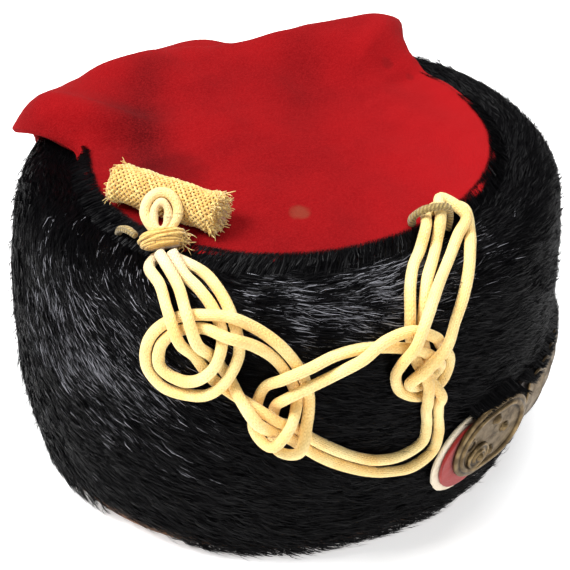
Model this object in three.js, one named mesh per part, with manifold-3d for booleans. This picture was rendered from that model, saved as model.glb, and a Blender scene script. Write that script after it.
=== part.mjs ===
// A hussar's busby: a barrel of short black fur with a red cloth bag, a doubled
// cap line with a wool toggle, and brass chin scales on cloth cockades.
// Millimetres. +Z is up, +X is the wearer's front and +Y the wearer's left.

import * as THREE from "three";
import { mergeVertices } from "three/addons/utils/BufferGeometryUtils.js";
import Module from "manifold-3d";

const wasm = await Module();
wasm.setup();

// Driving dimensions of the fur barrel
const HALF_LENGTH = 114;      // half of the oval, front to back, at the base
const HALF_WIDTH = 100.3;     // half of the oval, side to side, at the base
const HEIGHT = 136;
const WALL_BULGE = 7.2;       // how far the side swells at half its height
const TOP_ROUND = 14.2;       // radius of the rolled top edge
const BASE_ROUND = 5.7;
const PILE = 2;               // hair tips that stand outside this solid form
const HEAD_WALL = 15;         // from the base outline in to the head's hollow
const SEAM_INSET = 26.5;      // from the base outline in to the bag's seam
const RIM_ROLL = 11;          // thickness of the fur turned in at the top
const LOCK_DEPTH = 1.3;       // relief of the fur's locks
const LOCKS_AROUND = 66;
const GAP = 0.3;              // clearance between pieces that touch

// Driving dimensions of the trimmings
const CLOTH = 2;              // thickness of the bag's milled wool
const BAND = 2.4;             // thickness of the leather binding
const CORD = 4.5;             // cap line diameter
const CORD_SOLID = 4.1;       // the same under its braid's nap
const HANGER = 2.8;           // diameter of the hanger loops
const TOGGLE_LENGTH = 48;
const TOGGLE_RADIUS = 7.4;
const COCKADE_RADIUS = 20.5;
const COCKADE_RED_RADIUS = 17.3;
const COCKADE_CLOTH = 1.5;
const COCKADE_ASIDE = -5;       // from the chain's line to the cockade's middle
const COCKADE_LIFT = 0.8;
const COCKADE_TILT_DEG = 5;     // its front edge is pressed down by the chain
const PLATE_LENGTH = 46;
const PLATE_WIDTH = 37;
const PLATE_THICK = 2;
const PLATE_AHEAD = 11;         // from the cockade's middle to the plate's, along the chain
const STRAP_THICK = 2;
const STRAP_WIDTH = 22;
const SCALES = 20;
const SCALE_THICK = 1.1;
const SCALE_OVERLAP = 3.6;
const CHAIN_START_DEG = 72.7;  // boss centres, either side of the front
const CHAIN_SIDE = 48;        // height of the boss centres
const CHAIN_FRONT = 44;       // height of the chin scales at the front

const radians = (degrees) => degrees * Math.PI / 180;
const clamp01 = (value) => Math.min(1, Math.max(0, value));
const smooth = (value) => clamp01(value) ** 2 * (3 - 2 * clamp01(value));
const mix = (a, b, share) => a + (b - a) * share;

const group = new THREE.Group();

function material(color, roughness, metalness) {
  return new THREE.MeshStandardMaterial({ color, roughness, metalness });
}

const FUR = material(0x121214, 0.6, 0);
const RED_CLOTH = material(0xb8161d, 0.95, 0);
const YELLOW_CORD = material(0xefd88c, 0.8, 0);
const WOOL = material(0xdcb450, 0.95, 0);
const BROWN_CORD = material(0x94803f, 0.9, 0);
const LEATHER = material(0x6f5240, 0.7, 0);
const STRAP_LEATHER = material(0x2a211c, 0.7, 0);
const CREAM_CLOTH = material(0xe6d9be, 0.95, 0);
const VERMILION_CLOTH = material(0xbf3a2a, 0.95, 0);
const OLD_BRASS = material(0x84704a, 0.4, 0.9);

function addNode(name, geometry, surface) {
  const mesh = new THREE.Mesh(geometry, surface);
  mesh.name = name;
  group.add(mesh);
  return mesh;
}

function meshFrom(points, triangles) {
  const geometry = new THREE.BufferGeometry();
  geometry.setAttribute("position", new THREE.Float32BufferAttribute(points.flat(), 3));
  geometry.setIndex(triangles.flat());
  geometry.computeVertexNormals();
  return geometry;
}

// A closed ring of closed profiles, as a hollow barrel or a band
function ringOfProfiles(profiles) {
  const count = profiles.length;
  const size = profiles[0].length;
  const triangles = [];
  for (let i = 0; i < count; i += 1) {
    for (let j = 0; j < size; j += 1) {
      const next = (i + 1) % count;
      const up = (j + 1) % size;
      const [a, b] = [i * size + j, next * size + j];
      const [c, d] = [next * size + up, i * size + up];
      triangles.push([a, b, c], [a, c, d]);
    }
  }
  return meshFrom(profiles.flat(), triangles);
}

// A loft through closed sections, with a flat cap on each end
function cappedLoft(sections) {
  const size = sections[0].length;
  const last = (sections.length - 1) * size;
  const triangles = [];
  for (let i = 0; i + 1 < sections.length; i += 1) {
    for (let j = 0; j < size; j += 1) {
      const side = (j + 1) % size;
      const [a, b] = [i * size + j, i * size + side];
      const [c, d] = [a + size, b + size];
      triangles.push([a, b, d], [a, d, c]);
    }
  }
  for (let j = 1; j + 1 < size; j += 1) {
    triangles.push([0, j + 1, j], [last, last + j, last + j + 1]);
  }
  return meshFrom(sections.flat(), triangles);
}

// Outline of the fur at a height, as an offset from the base oval
function furOffset(height) {
  const share = height / HEIGHT;
  let offset = 4 * WALL_BULGE * share * (1 - share);
  const overTop = Math.max(0, height - (HEIGHT - TOP_ROUND));
  const underBase = Math.max(0, BASE_ROUND - height);
  offset -= TOP_ROUND - Math.sqrt(TOP_ROUND ** 2 - Math.min(overTop, TOP_ROUND) ** 2);
  offset -= BASE_ROUND - Math.sqrt(BASE_ROUND ** 2 - underBase ** 2);
  return offset;
}

function ovalPoint(angle, offset, height) {
  const x = (HALF_LENGTH + offset) * Math.cos(angle);
  const y = (HALF_WIDTH + offset) * Math.sin(angle);
  return [x, y, height];
}

// A distance up the outside of the fur and in over its rolled edge, as an
// offset from the base oval and a height
const SHOULDER = HEIGHT - TOP_ROUND;
const TURNED = SHOULDER + TOP_ROUND * Math.PI / 2;
const SEAM_UP = TURNED + SEAM_INSET - TOP_ROUND;

function furProfileAt(up) {
  if (up > TURNED) return [-TOP_ROUND - (up - TURNED), HEIGHT];
  const turn = Math.max(0, up - SHOULDER) / TOP_ROUND;
  const height = Math.min(up, SHOULDER) + TOP_ROUND * Math.sin(turn);
  const share = height / HEIGHT;
  return [4 * WALL_BULGE * share * (1 - share) - TOP_ROUND * (1 - Math.cos(turn)), height];
}

const CLOTH_RISE = 5.5;

// The same with the bag's soft edge past the seam, where the cords lie on it
function layProfile(up) {
  const [offset, height] = furProfileAt(up);
  return [offset, height + CLOTH_RISE * smooth((up - SEAM_UP + 8) / 7)];
}

// The frame of a place on the outside: its point and its outward direction
function layFrame(aroundDeg, up, profile = layProfile) {
  const angle = radians(aroundDeg);
  const [offset, height] = profile(up);
  const above = profile(up + 0.5);
  const below = profile(up - 0.5);
  const run = Math.hypot(above[0] - below[0], above[1] - below[1]);
  const flat = (above[1] - below[1]) / run;
  const rise = (below[0] - above[0]) / run;
  const across = new THREE.Vector2(Math.cos(angle) / HALF_LENGTH, Math.sin(angle) / HALF_WIDTH);
  across.normalize();
  const normal = new THREE.Vector3(across.x * flat, across.y * flat, rise).normalize();
  const point = new THREE.Vector3(...ovalPoint(angle, offset, height));
  return { point, normal };
}

function layPoint(aroundDeg, up, lift, profile = layProfile) {
  const { point, normal } = layFrame(aroundDeg, up, profile);
  return point.addScaledVector(normal, lift - PILE);
}

// Fur barrel: a thick furred wall, open below, with its top edge rolled in
const FUR_ROWS = 9;

function furProfile(column) {
  const angle = 2 * Math.PI * column / LOCKS_AROUND;
  const points = [];
  for (let row = 0; row <= FUR_ROWS; row += 1) {
    const height = mix(BAND + GAP, HEIGHT - TOP_ROUND, row / FUR_ROWS);
    const lock = row > 0 && (row + column) % 2 ? 0 : -LOCK_DEPTH;
    points.push(ovalPoint(angle, furOffset(height) - PILE + lock, height));
  }
  for (const turn of [30, 60, 90]) {
    const height = HEIGHT - TOP_ROUND + (TOP_ROUND - PILE) * Math.sin(radians(turn));
    const inward = TOP_ROUND - (TOP_ROUND - PILE) * Math.cos(radians(turn));
    points.push(ovalPoint(angle, furOffset(HEIGHT - TOP_ROUND) * (1 - turn / 90) - inward, height));
  }
  points.push(ovalPoint(angle, -SEAM_INSET, HEIGHT - PILE));
  points.push(ovalPoint(angle, -SEAM_INSET, HEIGHT - RIM_ROLL));
  points.push(ovalPoint(angle, -HEAD_WALL, HEIGHT - RIM_ROLL - 5));
  points.push(ovalPoint(angle, -HEAD_WALL, HEIGHT / 2));
  points.push(ovalPoint(angle, -HEAD_WALL, BAND + GAP));
  return points;
}

const furProfiles = [];
for (let column = 0; column < LOCKS_AROUND; column += 1) furProfiles.push(furProfile(column));
addNode("fur_body", ringOfProfiles(furProfiles), FUR);

// Leather binding of the lower edge, flat on the ground
const bandProfiles = [];
for (let column = 0; column < LOCKS_AROUND; column += 2) {
  const angle = 2 * Math.PI * column / LOCKS_AROUND;
  bandProfiles.push([
    ovalPoint(angle, -BASE_ROUND - 1, 0),
    ovalPoint(angle, -BASE_ROUND + 1, BAND / 2),
    ovalPoint(angle, -BASE_ROUND, BAND),
    ovalPoint(angle, -HEAD_WALL, BAND),
    ovalPoint(angle, -HEAD_WALL, 0),
  ]);
}
addNode("leather_rim_band", ringOfProfiles(bandProfiles), LEATHER);

// Bag: how its outer edge runs round the top, and how far it reaches over the fur.
// around: degrees from the front, out: its ridge past the seam, up: its ridge above
// the fur, reach: how far it covers the fur, over the rolled edge and down the side
const BAG_EDGE = [
  { around: -170, out: 0.6, up: 3.4, reach: 0.6 },
  { around: -90, out: 0.6, up: 3.4, reach: 0.6 },
  { around: 0, out: 0.6, up: 3.5, reach: 0.6 },
  { around: 25, out: 1.5, up: 4.5, reach: 1.5 },
  { around: 33, out: 5, up: 10, reach: 5 },
  { around: 38, out: 13, up: 14, reach: 12 },
  { around: 42, out: 20, up: 19, reach: 18 },
  { around: 46, out: 20, up: 19, reach: 18 },
  { around: 54, out: 11, up: 19, reach: 12 },
  { around: 64, out: 8, up: 17, reach: 9 },
  { around: 72, out: 5, up: 15, reach: 6 },
  { around: 82, out: 3, up: 13, reach: 6 },
  { around: 93, out: 6, up: 11, reach: 18 },
  { around: 102, out: 13, up: 11, reach: 60 },
  { around: 110, out: 18, up: 12, reach: 118 },
  { around: 118, out: 22, up: 11, reach: 136 },
  { around: 125, out: 26, up: 9.5, reach: 124 },
  { around: 131, out: 29, up: 10, reach: 78 },
  { around: 137, out: 30, up: 12.5, reach: 34 },
  { around: 142, out: 30, up: 16, reach: 26 },
  { around: 146, out: 28, up: 15.5, reach: 23 },
  { around: 149, out: 23, up: 13, reach: 19 },
  { around: 152, out: 13, up: 8, reach: 13 },
  { around: 156, out: 3, up: 4.5, reach: 3 },
  { around: 165, out: 0.8, up: 3.8, reach: 0.8 },
  { around: 190, out: 0.6, up: 3.4, reach: 0.6 },
];

// Folds pressed into the top: from and to in plan, half width and depth
const BAG_FOLDS = [
  { x1: -36, y1: 72, x2: -51, y2: 44, width: 9, depth: 3.5 },
  { x1: -51, y1: 44, x2: -59, y2: 10, width: 11, depth: 5.5 },
  { x1: 33, y1: 62, x2: 14, y2: 14, width: 10, depth: 1.6 },
];

function bagEdge(aroundDeg) {
  const turned = ((aroundDeg + 170) % 360 + 360) % 360 - 170;
  let index = 0;
  while (index < BAG_EDGE.length - 2 && BAG_EDGE[index + 1].around < turned) index += 1;
  const [a, b] = [BAG_EDGE[index], BAG_EDGE[index + 1]];
  const share = smooth((turned - a.around) / (b.around - a.around));
  const between = (column) => mix(a[column], b[column], share);
  return { out: between("out"), up: between("up"), reach: between("reach") };
}

function foldDepth(x, y) {
  let depth = 0;
  for (const fold of BAG_FOLDS) {
    const [dx, dy] = [fold.x2 - fold.x1, fold.y2 - fold.y1];
    const along = clamp01(((x - fold.x1) * dx + (y - fold.y1) * dy) / (dx * dx + dy * dy));
    const away = Math.hypot(x - fold.x1 - along * dx, y - fold.y1 - along * dy);
    depth = Math.max(depth, fold.depth * Math.exp(-((away / fold.width) ** 2)));
  }
  return depth;
}

const TOP_SHARES = [0.2, 0.4, 0.58, 0.74, 0.88];
const REACH_STOPS = [0.5, 8, 16, 24, 32, 80];
const BAG_COLUMNS = 54;
const BAG_CROWDING = 0.3;              // columns stand closer on the side with the tail
const BAG_CROWD_AT = radians(100);
const BAG_THICK = 9;                   // both layers of the hanging tail
const BAG_CLEAR = 0.5;
const TAIL_STAND = 4;                  // the tail hangs this much clear of the hair
const BAG_SLOPE_TO = radians(100);     // the way the top rises, to the wearer's left

// The cloth's upper surface over the head's hollow, a share of the way to the seam
function topPoint(angle, share, up) {
  const x = (HALF_LENGTH - SEAM_INSET) * share * Math.cos(angle);
  const y = (HALF_WIDTH - SEAM_INSET) * share * Math.sin(angle);
  const middle = 7 + 4 * share * Math.cos(angle - BAG_SLOPE_TO);
  const lift = mix(middle, up, smooth((share - 0.55) / 0.4));
  return new THREE.Vector3(x, y, HEIGHT + lift - foldDepth(x, y));
}

// How far past the seam a row lies; rows beyond the cloth's reach close up at its edge
function rowReach(reach, row) {
  const last = REACH_STOPS.length - 1;
  if (row === last) return reach;
  return Math.min(REACH_STOPS[row], reach - 0.1 * (last - row));
}

// The bag's outside at one angle, from near the middle of the top to its seam
function bagOutside(angle) {
  const aroundDeg = angle * 180 / Math.PI;
  const { out, up, reach } = bagEdge(aroundDeg);
  const hangs = smooth((reach - 10) / 12);
  const points = TOP_SHARES.map((share) => topPoint(angle, share, up));
  const ridge = ovalPoint(angle, -SEAM_INSET + out * 0.55 - 2.6, HEIGHT + up);
  const edge = ovalPoint(angle, -SEAM_INSET + out - 0.5, HEIGHT + up - 1.4);
  points.push(new THREE.Vector3(...ridge), new THREE.Vector3(...edge));
  const rows = REACH_STOPS.map((_, row) => row);
  for (const row of rows) {
    const past = Math.max(out + 0.5 + 0.1 * row, rowReach(reach, row));
    const settle = clamp01((past - out) / 24 + row / 12);
    const lift = mix(up + PILE - 3, mix(PILE + 1.6, BAG_THICK, hangs), settle);
    points.push(layPoint(aroundDeg, SEAM_UP - past, lift, furProfileAt));
  }
  for (const row of rows.reverse()) {
    const past = rowReach(reach, row) - 0.3;
    const lift = PILE + BAG_CLEAR + TAIL_STAND * hangs * clamp01(past / 20);
    points.push(layPoint(aroundDeg, SEAM_UP - past, lift, furProfileAt));
  }
  points.push(new THREE.Vector3(...ovalPoint(angle, -SEAM_INSET - GAP, HEIGHT - PILE)));
  points.push(new THREE.Vector3(...ovalPoint(angle, -SEAM_INSET - GAP, HEIGHT - PILE - 4)));
  return points;
}

// The cloth's inside at one angle, from its lower edge up and in to the middle
function bagInside(angle) {
  const { out, up } = bagEdge(angle * 180 / Math.PI);
  const wall = -SEAM_INSET - GAP - CLOTH;
  const points = [
    ovalPoint(angle, wall, HEIGHT - PILE - 4),
    ovalPoint(angle, wall, HEIGHT - PILE),
    ovalPoint(angle, wall + Math.max(0, out - 4) * 0.7, HEIGHT + Math.min(3, up - CLOTH - 1)),
    ovalPoint(angle, wall + Math.max(0, out - 4) * 0.5, HEIGHT + up - CLOTH - 0.5),
  ].map((point) => new THREE.Vector3(...point));
  for (const share of [...TOP_SHARES].reverse()) {
    const point = topPoint(angle, share, up);
    point.z -= CLOTH;
    points.push(point);
  }
  return points;
}

function bagGeometry() {
  const columns = [];
  for (let column = 0; column < BAG_COLUMNS; column += 1) {
    const even = 2 * Math.PI * column / BAG_COLUMNS;
    const angle = even - BAG_CROWDING * Math.sin(even - BAG_CROWD_AT);
    columns.push([...bagOutside(angle), ...bagInside(angle)]);
  }
  const size = columns[0].length;
  const points = columns.flat().map((point) => point.toArray());
  const outerPole = points.length;
  points.push([0, 0, HEIGHT + 7]);
  points.push([0, 0, HEIGHT + 7 - CLOTH]);
  const triangles = [];
  for (let i = 0; i < BAG_COLUMNS; i += 1) {
    const next = (i + 1) % BAG_COLUMNS;
    for (let j = 0; j + 1 < size; j += 1) {
      const [a, b] = [i * size + j, next * size + j];
      triangles.push([a, b + 1, b], [a, a + 1, b + 1]);
    }
    triangles.push([outerPole, i * size, next * size]);
    triangles.push([outerPole + 1, next * size + size - 1, i * size + size - 1]);
  }
  return meshFrom(points, triangles);
}

addNode("bag", bagGeometry(), RED_CLOTH);

function tubeAlong(points, diameter, sides, steps) {
  const path = new THREE.CatmullRomCurve3(points, false, "centripetal");
  const section = new THREE.Shape();
  for (let side = 0; side < sides; side += 1) {
    const turn = 2 * Math.PI * side / sides;
    const [x, y] = [diameter / 2 * Math.cos(turn), diameter / 2 * Math.sin(turn)];
    if (side === 0) section.moveTo(x, y);
    else section.lineTo(x, y);
  }
  section.closePath();
  return new THREE.ExtrudeGeometry(section, { extrudePath: path, steps, bevelEnabled: false });
}

// Turns a frame so that its Z points outward and its X along the way given
function frameMatrix(point, outward, along) {
  const z = outward.clone().normalize();
  const y = z.clone().cross(along).normalize();
  const x = y.clone().cross(z);
  return new THREE.Matrix4().makeBasis(x, y, z).setPosition(point);
}

function solidOf(geometry) {
  const plain = geometry.clone();
  plain.deleteAttribute("normal");
  plain.deleteAttribute("uv");
  const merged = mergeVertices(plain, 1e-4);
  const vertProperties = new Float32Array(merged.attributes.position.array);
  const triVerts = new Uint32Array(merged.index.array);
  return new wasm.Manifold(new wasm.Mesh({ numProp: 3, vertProperties, triVerts }));
}

function geometryOf(solid) {
  const mesh = solid.getMesh();
  const geometry = new THREE.BufferGeometry();
  geometry.setAttribute("position", new THREE.Float32BufferAttribute(mesh.vertProperties, 3));
  geometry.setIndex(Array.from(mesh.triVerts));
  geometry.computeVertexNormals();
  return geometry;
}

// A turned piece, from its radii at rising heights, standing on the X-Y plane
function turned(rows, sides) {
  const points = rows.map(([radius, height]) => new THREE.Vector2(radius, height));
  return new THREE.LatheGeometry(points, sides).rotateX(Math.PI / 2);
}

// Toggle: a bar of wool, its axis level, lying on the bag
const TOGGLE_MIDDLE = new THREE.Vector3(-65.3, -25.8, HEIGHT + 12);
const TOGGLE_TURN = radians(-50);
const TOGGLE_LUMPS = [
  { along: -0.5, girth: 0.42 },
  { along: -0.485, girth: 0.8 },
  { along: -0.43, girth: 1.04 },
  { along: -0.36, girth: 0.97 },
  { along: -0.15, girth: 0.98 },
  { along: 0.1, girth: 1 },
  { along: 0.34, girth: 0.98 },
  { along: 0.4, girth: 1.05 },
  { along: 0.46, girth: 0.95 },
  { along: 0.5, girth: 0.78 },
];
const toggleRows = TOGGLE_LUMPS.map(({ along, girth }) => [girth * TOGGLE_RADIUS, along * TOGGLE_LENGTH]);
const toggleLength = TOGGLE_LENGTH / 2;
const toggle = addNode("toggle", turned([[0, -toggleLength], ...toggleRows, [0, toggleLength]], 14), WOOL);
toggle.geometry.rotateY(Math.PI / 2);
toggle.position.copy(TOGGLE_MIDDLE);
toggle.rotation.z = TOGGLE_TURN;

// The eye of doubled cord that stands against the toggle, and its bound neck
const EYE_MIDDLE = new THREE.Vector3(-72.2, -34.3, HEIGHT + 16.5);
const EYE_FACING = new THREE.Vector3(-0.34, -0.7, 0.62);
const EYE_UP = new THREE.Vector3(0.27, 0.56, 0.78);
const EYE_RADIUS = 6.2;
const EYE_CORD = 3.8;
const EYE_TALL = 1.25;
const eye = new THREE.TorusGeometry(EYE_RADIUS, EYE_CORD / 2, 8, 20).scale(1, EYE_TALL, 1);
const eyeAcross = EYE_UP.clone().cross(EYE_FACING);
eye.applyMatrix4(frameMatrix(EYE_MIDDLE, EYE_FACING, eyeAcross));
addNode("toggle_ring", eye, YELLOW_CORD);

const NECK_TOP = new THREE.Vector3(-73.8, -41.4, HEIGHT + 9.2);
const NECK_DOWN = new THREE.Vector3(-0.12, -0.75, -0.55).normalize();
const NECK_ROWS = [
  [5.2, 0], [7.2, 1], [7.7, 2.6], [6.9, 3.5], [7.7, 4.6], [6.9, 5.6], [6.2, 6.6],
];
const neckRows = [[0, 0], ...NECK_ROWS, [0, 6.6]];
const neck = turned(neckRows, 14).scale(1.05, 0.72, 1);
neck.applyMatrix4(frameMatrix(NECK_TOP, NECK_DOWN, new THREE.Vector3(1, -0.3, 0)));
addNode("neck_binding", neck, WOOL);

// Cap line: one cord doubled, tied in three loose knots between the toggle and the
// right hanger loop, and lying on the fur. Each point is degrees from the front,
// distance up the fur and over its edge, and lift off the fur.
const CORD_1 = [
  [-141.1, 152.4, 2.2], [-136, 144.3, 0.5], [-131.4, 139.5, 0], [-127.3, 133.3, 0.4],
  [-124.8, 125.2, 0], [-125.2, 116.6, 5.2], [-128, 108.6, 4.6], [-132.2, 103.6, 0.7],
  [-136.4, 107.2, 0], [-136.5, 116.6, 0], [-133.3, 124.1, 0], [-128.4, 126.8, 1.3],
  [-123.6, 126.1, 7.1], [-118.7, 123.1, 2.4], [-115, 116.8, 0], [-112.3, 108.5, 0],
  [-110.7, 99.1, 0], [-112.1, 92.3, 9], [-115.1, 84.7, 11], [-118.2, 85.8, 2.6],
  [-118, 94.8, 0], [-116.6, 103.9, 0], [-113.5, 110.9, 5.1], [-108.8, 114.6, 4],
  [-103.8, 116.6, 0.1], [-98.7, 117.9, 0], [-93.5, 117, 1.7], [-88.7, 114.9, 5.6],
  [-85.1, 108, 5.2], [-83, 99.3, 0], [-86.6, 94.5, 0], [-90.4, 100.9, 5.1],
  [-88.3, 109.1, 9.8], [-84.6, 115.6, 9.6], [-80.7, 120.8, 3.6], [-77, 126.9, 0.4],
  [-73.4, 133.8, 0], [-69.5, 140.3, 0.2], [-65.3, 146.1, 0], [-61.9, 154.1, 0.5],
  [-65.6, 160.9, 0], [-71.2, 160.4, 0], [-75.5, 154.8, 1], [-79.9, 149.5, 0.2],
  [-83.9, 143.4, 0], [-87.3, 136, 0.2], [-89.1, 127.1, 0.4], [-89.2, 117.5, 0],
  [-88.6, 108.6, 2], [-87.3, 100.5, 7], [-86.9, 90.7, 6.3], [-85.7, 81.8, 1.8],
  [-84.7, 72.6, 0], [-85.2, 63.3, 0], [-89.8, 59.2, 0], [-94.9, 60.8, 0],
  [-99.5, 65.8, 0], [-103.6, 71.8, 0], [-107.5, 78.2, 0], [-111.1, 85.2, 0],
  [-114, 92.3, 5.8], [-118.2, 98.1, 4.6], [-122.8, 100.8, 0], [-126.7, 107.1, 0],
  [-129.7, 114.9, 0], [-132.1, 122.5, 5.3], [-135.4, 130.2, 4.6], [-139.2, 136.9, 2.3],
  [-144.5, 143.3, 0], [-145.3, 149.7, -0.1],
];
const CORD_2 = [
  [-142, 151.6, -2.1], [-132.5, 148.3, 0], [-128.4, 142.3, 0.1], [-124.8, 135.4, 0.2],
  [-122.2, 127.1, 0.4], [-121.5, 117.9, 0.4], [-123.3, 109.7, 5.2], [-126.3, 102.2, 4.3],
  [-130.5, 97.4, 0.4], [-135.6, 98, 0], [-139.1, 105.1, 0], [-139.5, 114.5, 0],
  [-137.5, 123.2, 0], [-133.4, 129, 0], [-128.6, 130.8, 3.6], [-123.5, 130.9, 6.6],
  [-118.7, 128.4, 1.5], [-114.5, 123.1, 0], [-111.4, 115.5, 0], [-109.3, 106.8, 0],
  [-108.4, 97.4, 0], [-108.8, 88.2, 2.2], [-110.3, 79.3, 8.2], [-113.8, 75.3, 2.5],
  [-114.9, 85, 0], [-114.6, 94.7, 0], [-113, 102.5, 5.6], [-108.3, 107.3, 4.7],
  [-103.4, 110.7, 2.8], [-99.3, 116.5, 5], [-95.1, 122, 4.4], [-89.9, 123, 4.5],
  [-85.5, 118.3, 5.2], [-82.8, 110.4, 0.1], [-80.5, 101.9, 0], [-82.1, 92.5, 0],
  [-86.7, 88.8, 0], [-90.9, 94.2, 0], [-92.4, 103.1, 1.6], [-92.4, 111.9, 6.5],
  [-90.6, 120.3, 9.9], [-87.3, 127.2, 8], [-83.2, 132.2, 4], [-78.8, 137.1, 1.4],
  [-74.4, 141.8, 0], [-69.5, 146.3, 2.3], [-64.9, 152.7, 4], [-66.7, 160, 5],
  [-71.3, 154.7, 2.9], [-75.2, 148.5, 0], [-79.2, 142.5, 0.3], [-83.2, 136.2, 0.1],
  [-86.1, 128.2, 0.7], [-86.8, 118.8, 0], [-86.1, 109.2, 0], [-86.2, 100.4, 3],
  [-84.3, 91.9, 6.6], [-83.1, 82.8, 2], [-82.1, 73.7, 0], [-81.6, 64.2, 0],
  [-82.5, 54.9, 0], [-86.8, 50.1, 0], [-92, 51.7, 0], [-96.7, 55.8, 0],
  [-101.1, 61.2, 0], [-105.2, 67.2, 0], [-108.9, 73.9, 0], [-112, 81.3, 2],
  [-115.1, 87.9, 6], [-117.8, 95.3, 10.3], [-120.6, 102.4, 6.6], [-123.3, 107.9, 0],
  [-126.4, 115.9, 0], [-128.8, 123.2, 5.9], [-131.6, 130.8, 6.7], [-135.2, 137.6, 3.1],
  [-143.3, 147.3, 4.6],
];
const CORD_REST = CORD / 2 + 2 * GAP;   // centre above the fur's solid form
const CORD_SIDES = 8;
const CORD_STEPS = 76;

function lineCord(name, route) {
  const points = route.map(([aroundDeg, up, lift]) => layPoint(aroundDeg, up, CORD_REST + lift));
  addNode(name, tubeAlong(points, CORD_SOLID, CORD_SIDES, CORD_STEPS), YELLOW_CORD);
}

lineCord("line_cord_1", CORD_1);
lineCord("line_cord_2", CORD_2);

// Hanger loops: old brown cord sewn in at the bag's seam
const HANGER_LOOPS = {
  hanger_loop_right: [[20.2, -66.8, 139.9], [19.6, -67.6, 143.5], [22.3, -69.8, 147.8],
    [27, -71.6, 149.6], [31.4, -72.3, 148.7], [33.7, -71.6, 144.6], [33.7, -71.6, 137]],
  hanger_loop_left: [[-85.3, -25, 135.9], [-85.2, -28.4, 140], [-83.9, -33.2, 142.6], [-82.6, -37.6, 143]],
};
for (const [name, route] of Object.entries(HANGER_LOOPS)) {
  const points = route.map((place) => new THREE.Vector3(...place));
  addNode(name, tubeAlong(points, HANGER, 8, 12), BROWN_CORD);
}

// Cockades: a cream cloth disc, a smaller red one on it, then the brass boss plate
function disc(radius) {
  const cloth = new THREE.CylinderGeometry(radius, radius, COCKADE_CLOTH, 32);
  return cloth.rotateX(Math.PI / 2).translate(0, 0, COCKADE_CLOTH / 2);
}

// The chin strap's way: worn up, nearly level round the front between the two bosses
function chainHeight(aroundDeg) {
  return mix(CHAIN_FRONT, CHAIN_SIDE, (aroundDeg / CHAIN_START_DEG) ** 2);
}

function chainFrame(aroundDeg, lift) {
  const here = layFrame(aroundDeg, chainHeight(aroundDeg));
  const ahead = layFrame(aroundDeg + 1, chainHeight(aroundDeg + 1));
  const along = ahead.point.clone().sub(here.point).normalize();
  return frameMatrix(here.point.clone().addScaledVector(here.normal, lift - PILE), here.normal, along);
}

function capsule(halfLength, radius) {
  const shape = new THREE.Shape();
  shape.moveTo(-halfLength, -radius);
  shape.lineTo(halfLength, -radius);
  shape.absarc(halfLength, 0, radius, -Math.PI / 2, Math.PI / 2, false);
  shape.lineTo(-halfLength, radius);
  shape.absarc(-halfLength, 0, radius, Math.PI / 2, Math.PI * 1.5, false);
  return shape;
}

// Boss plate: a round-ended plate with a raised bead, a ringed boss, three rivets
// and a hollow, all one casting. Its X runs along the strap, from the boss end.
const PLATE_RADIUS = PLATE_WIDTH / 2;
const PLATE_HALF = PLATE_LENGTH / 2 - PLATE_RADIUS;
const BEAD_RADIUS = 1.2;
const PLATE_RIVETS = [{ x: 1, y: 9 }, { x: 8, y: 0.5 }, { x: 0.5, y: -8.5 }];
const BOSS = { x: -8, y: -6 };
const HOLLOW = { x: -14.8, y: 3.5 };
const BOSS_ROWS = [
  [0, -1], [6.5, -1], [6.5, 0.8], [5.8, 1.5], [5.1, 0.9], [4.2, 1.1], [3.5, 2.2], [2.5, 1.8], [1.6, 3], [0, 3.4],
];

function bossPlate(sign) {
  const options = { depth: PLATE_THICK - 0.8, bevelEnabled: true, bevelThickness: 0.8, bevelSize: 0.8 };
  const flat = capsule(PLATE_HALF, PLATE_RADIUS - 0.8);
  const plate = new THREE.ExtrudeGeometry(flat, { ...options, bevelSegments: 1, curveSegments: 5 });
  let solid = solidOf(plate.translate(0, 0, 0.8));
  const rim = capsule(PLATE_HALF, PLATE_RADIUS - 2.6);
  rim.holes.push(capsule(PLATE_HALF, PLATE_RADIUS - 2.6 - 2 * BEAD_RADIUS));
  const bead = new THREE.ExtrudeGeometry(rim, { depth: BEAD_RADIUS + 1, bevelEnabled: false, curveSegments: 5 });
  solid = solid.add(solidOf(bead.translate(0, 0, PLATE_THICK - 0.2)));
  const boss = turned(BOSS_ROWS, 12).translate(-sign * BOSS.x, BOSS.y, PLATE_THICK + 0.8);
  solid = solid.add(solidOf(boss));
  for (const { x, y } of PLATE_RIVETS) {
    const rivet = turned([[0, -1], [2.6, -1], [2.6, 0.3], [1.7, 1.3], [0, 1.7]], 6);
    solid = solid.add(solidOf(rivet.translate(-sign * x, y, PLATE_THICK + 0.8)));
  }
  const hollow = turned([[0, 0], [2.2, 0], [2.2, 6], [0, 6]], 6);
  solid = solid.subtract(solidOf(hollow.translate(-sign * HOLLOW.x, HOLLOW.y, 1)));
  return geometryOf(solid);
}

for (const [side, sign] of [["right", -1], ["left", 1]]) {
  const aroundDeg = sign * CHAIN_START_DEG;
  const tilt = new THREE.Matrix4().makeRotationY(-sign * radians(COCKADE_TILT_DEG));
  const base = chainFrame(aroundDeg, COCKADE_LIFT).multiply(tilt);
  const cream = disc(COCKADE_RADIUS).translate(0, COCKADE_ASIDE, 0).applyMatrix4(base);
  addNode(`cockade_cream_${side}`, cream, CREAM_CLOTH);
  const red = disc(COCKADE_RED_RADIUS).translate(0, COCKADE_ASIDE, COCKADE_CLOTH + GAP);
  addNode(`cockade_red_${side}`, red.applyMatrix4(base), VERMILION_CLOTH);
  const plate = bossPlate(sign);
  plate.translate(-sign * PLATE_AHEAD, 0, 2 * (COCKADE_CLOTH + GAP));
  addNode(`boss_plate_${side}`, plate.applyMatrix4(base), OLD_BRASS);
}

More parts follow.
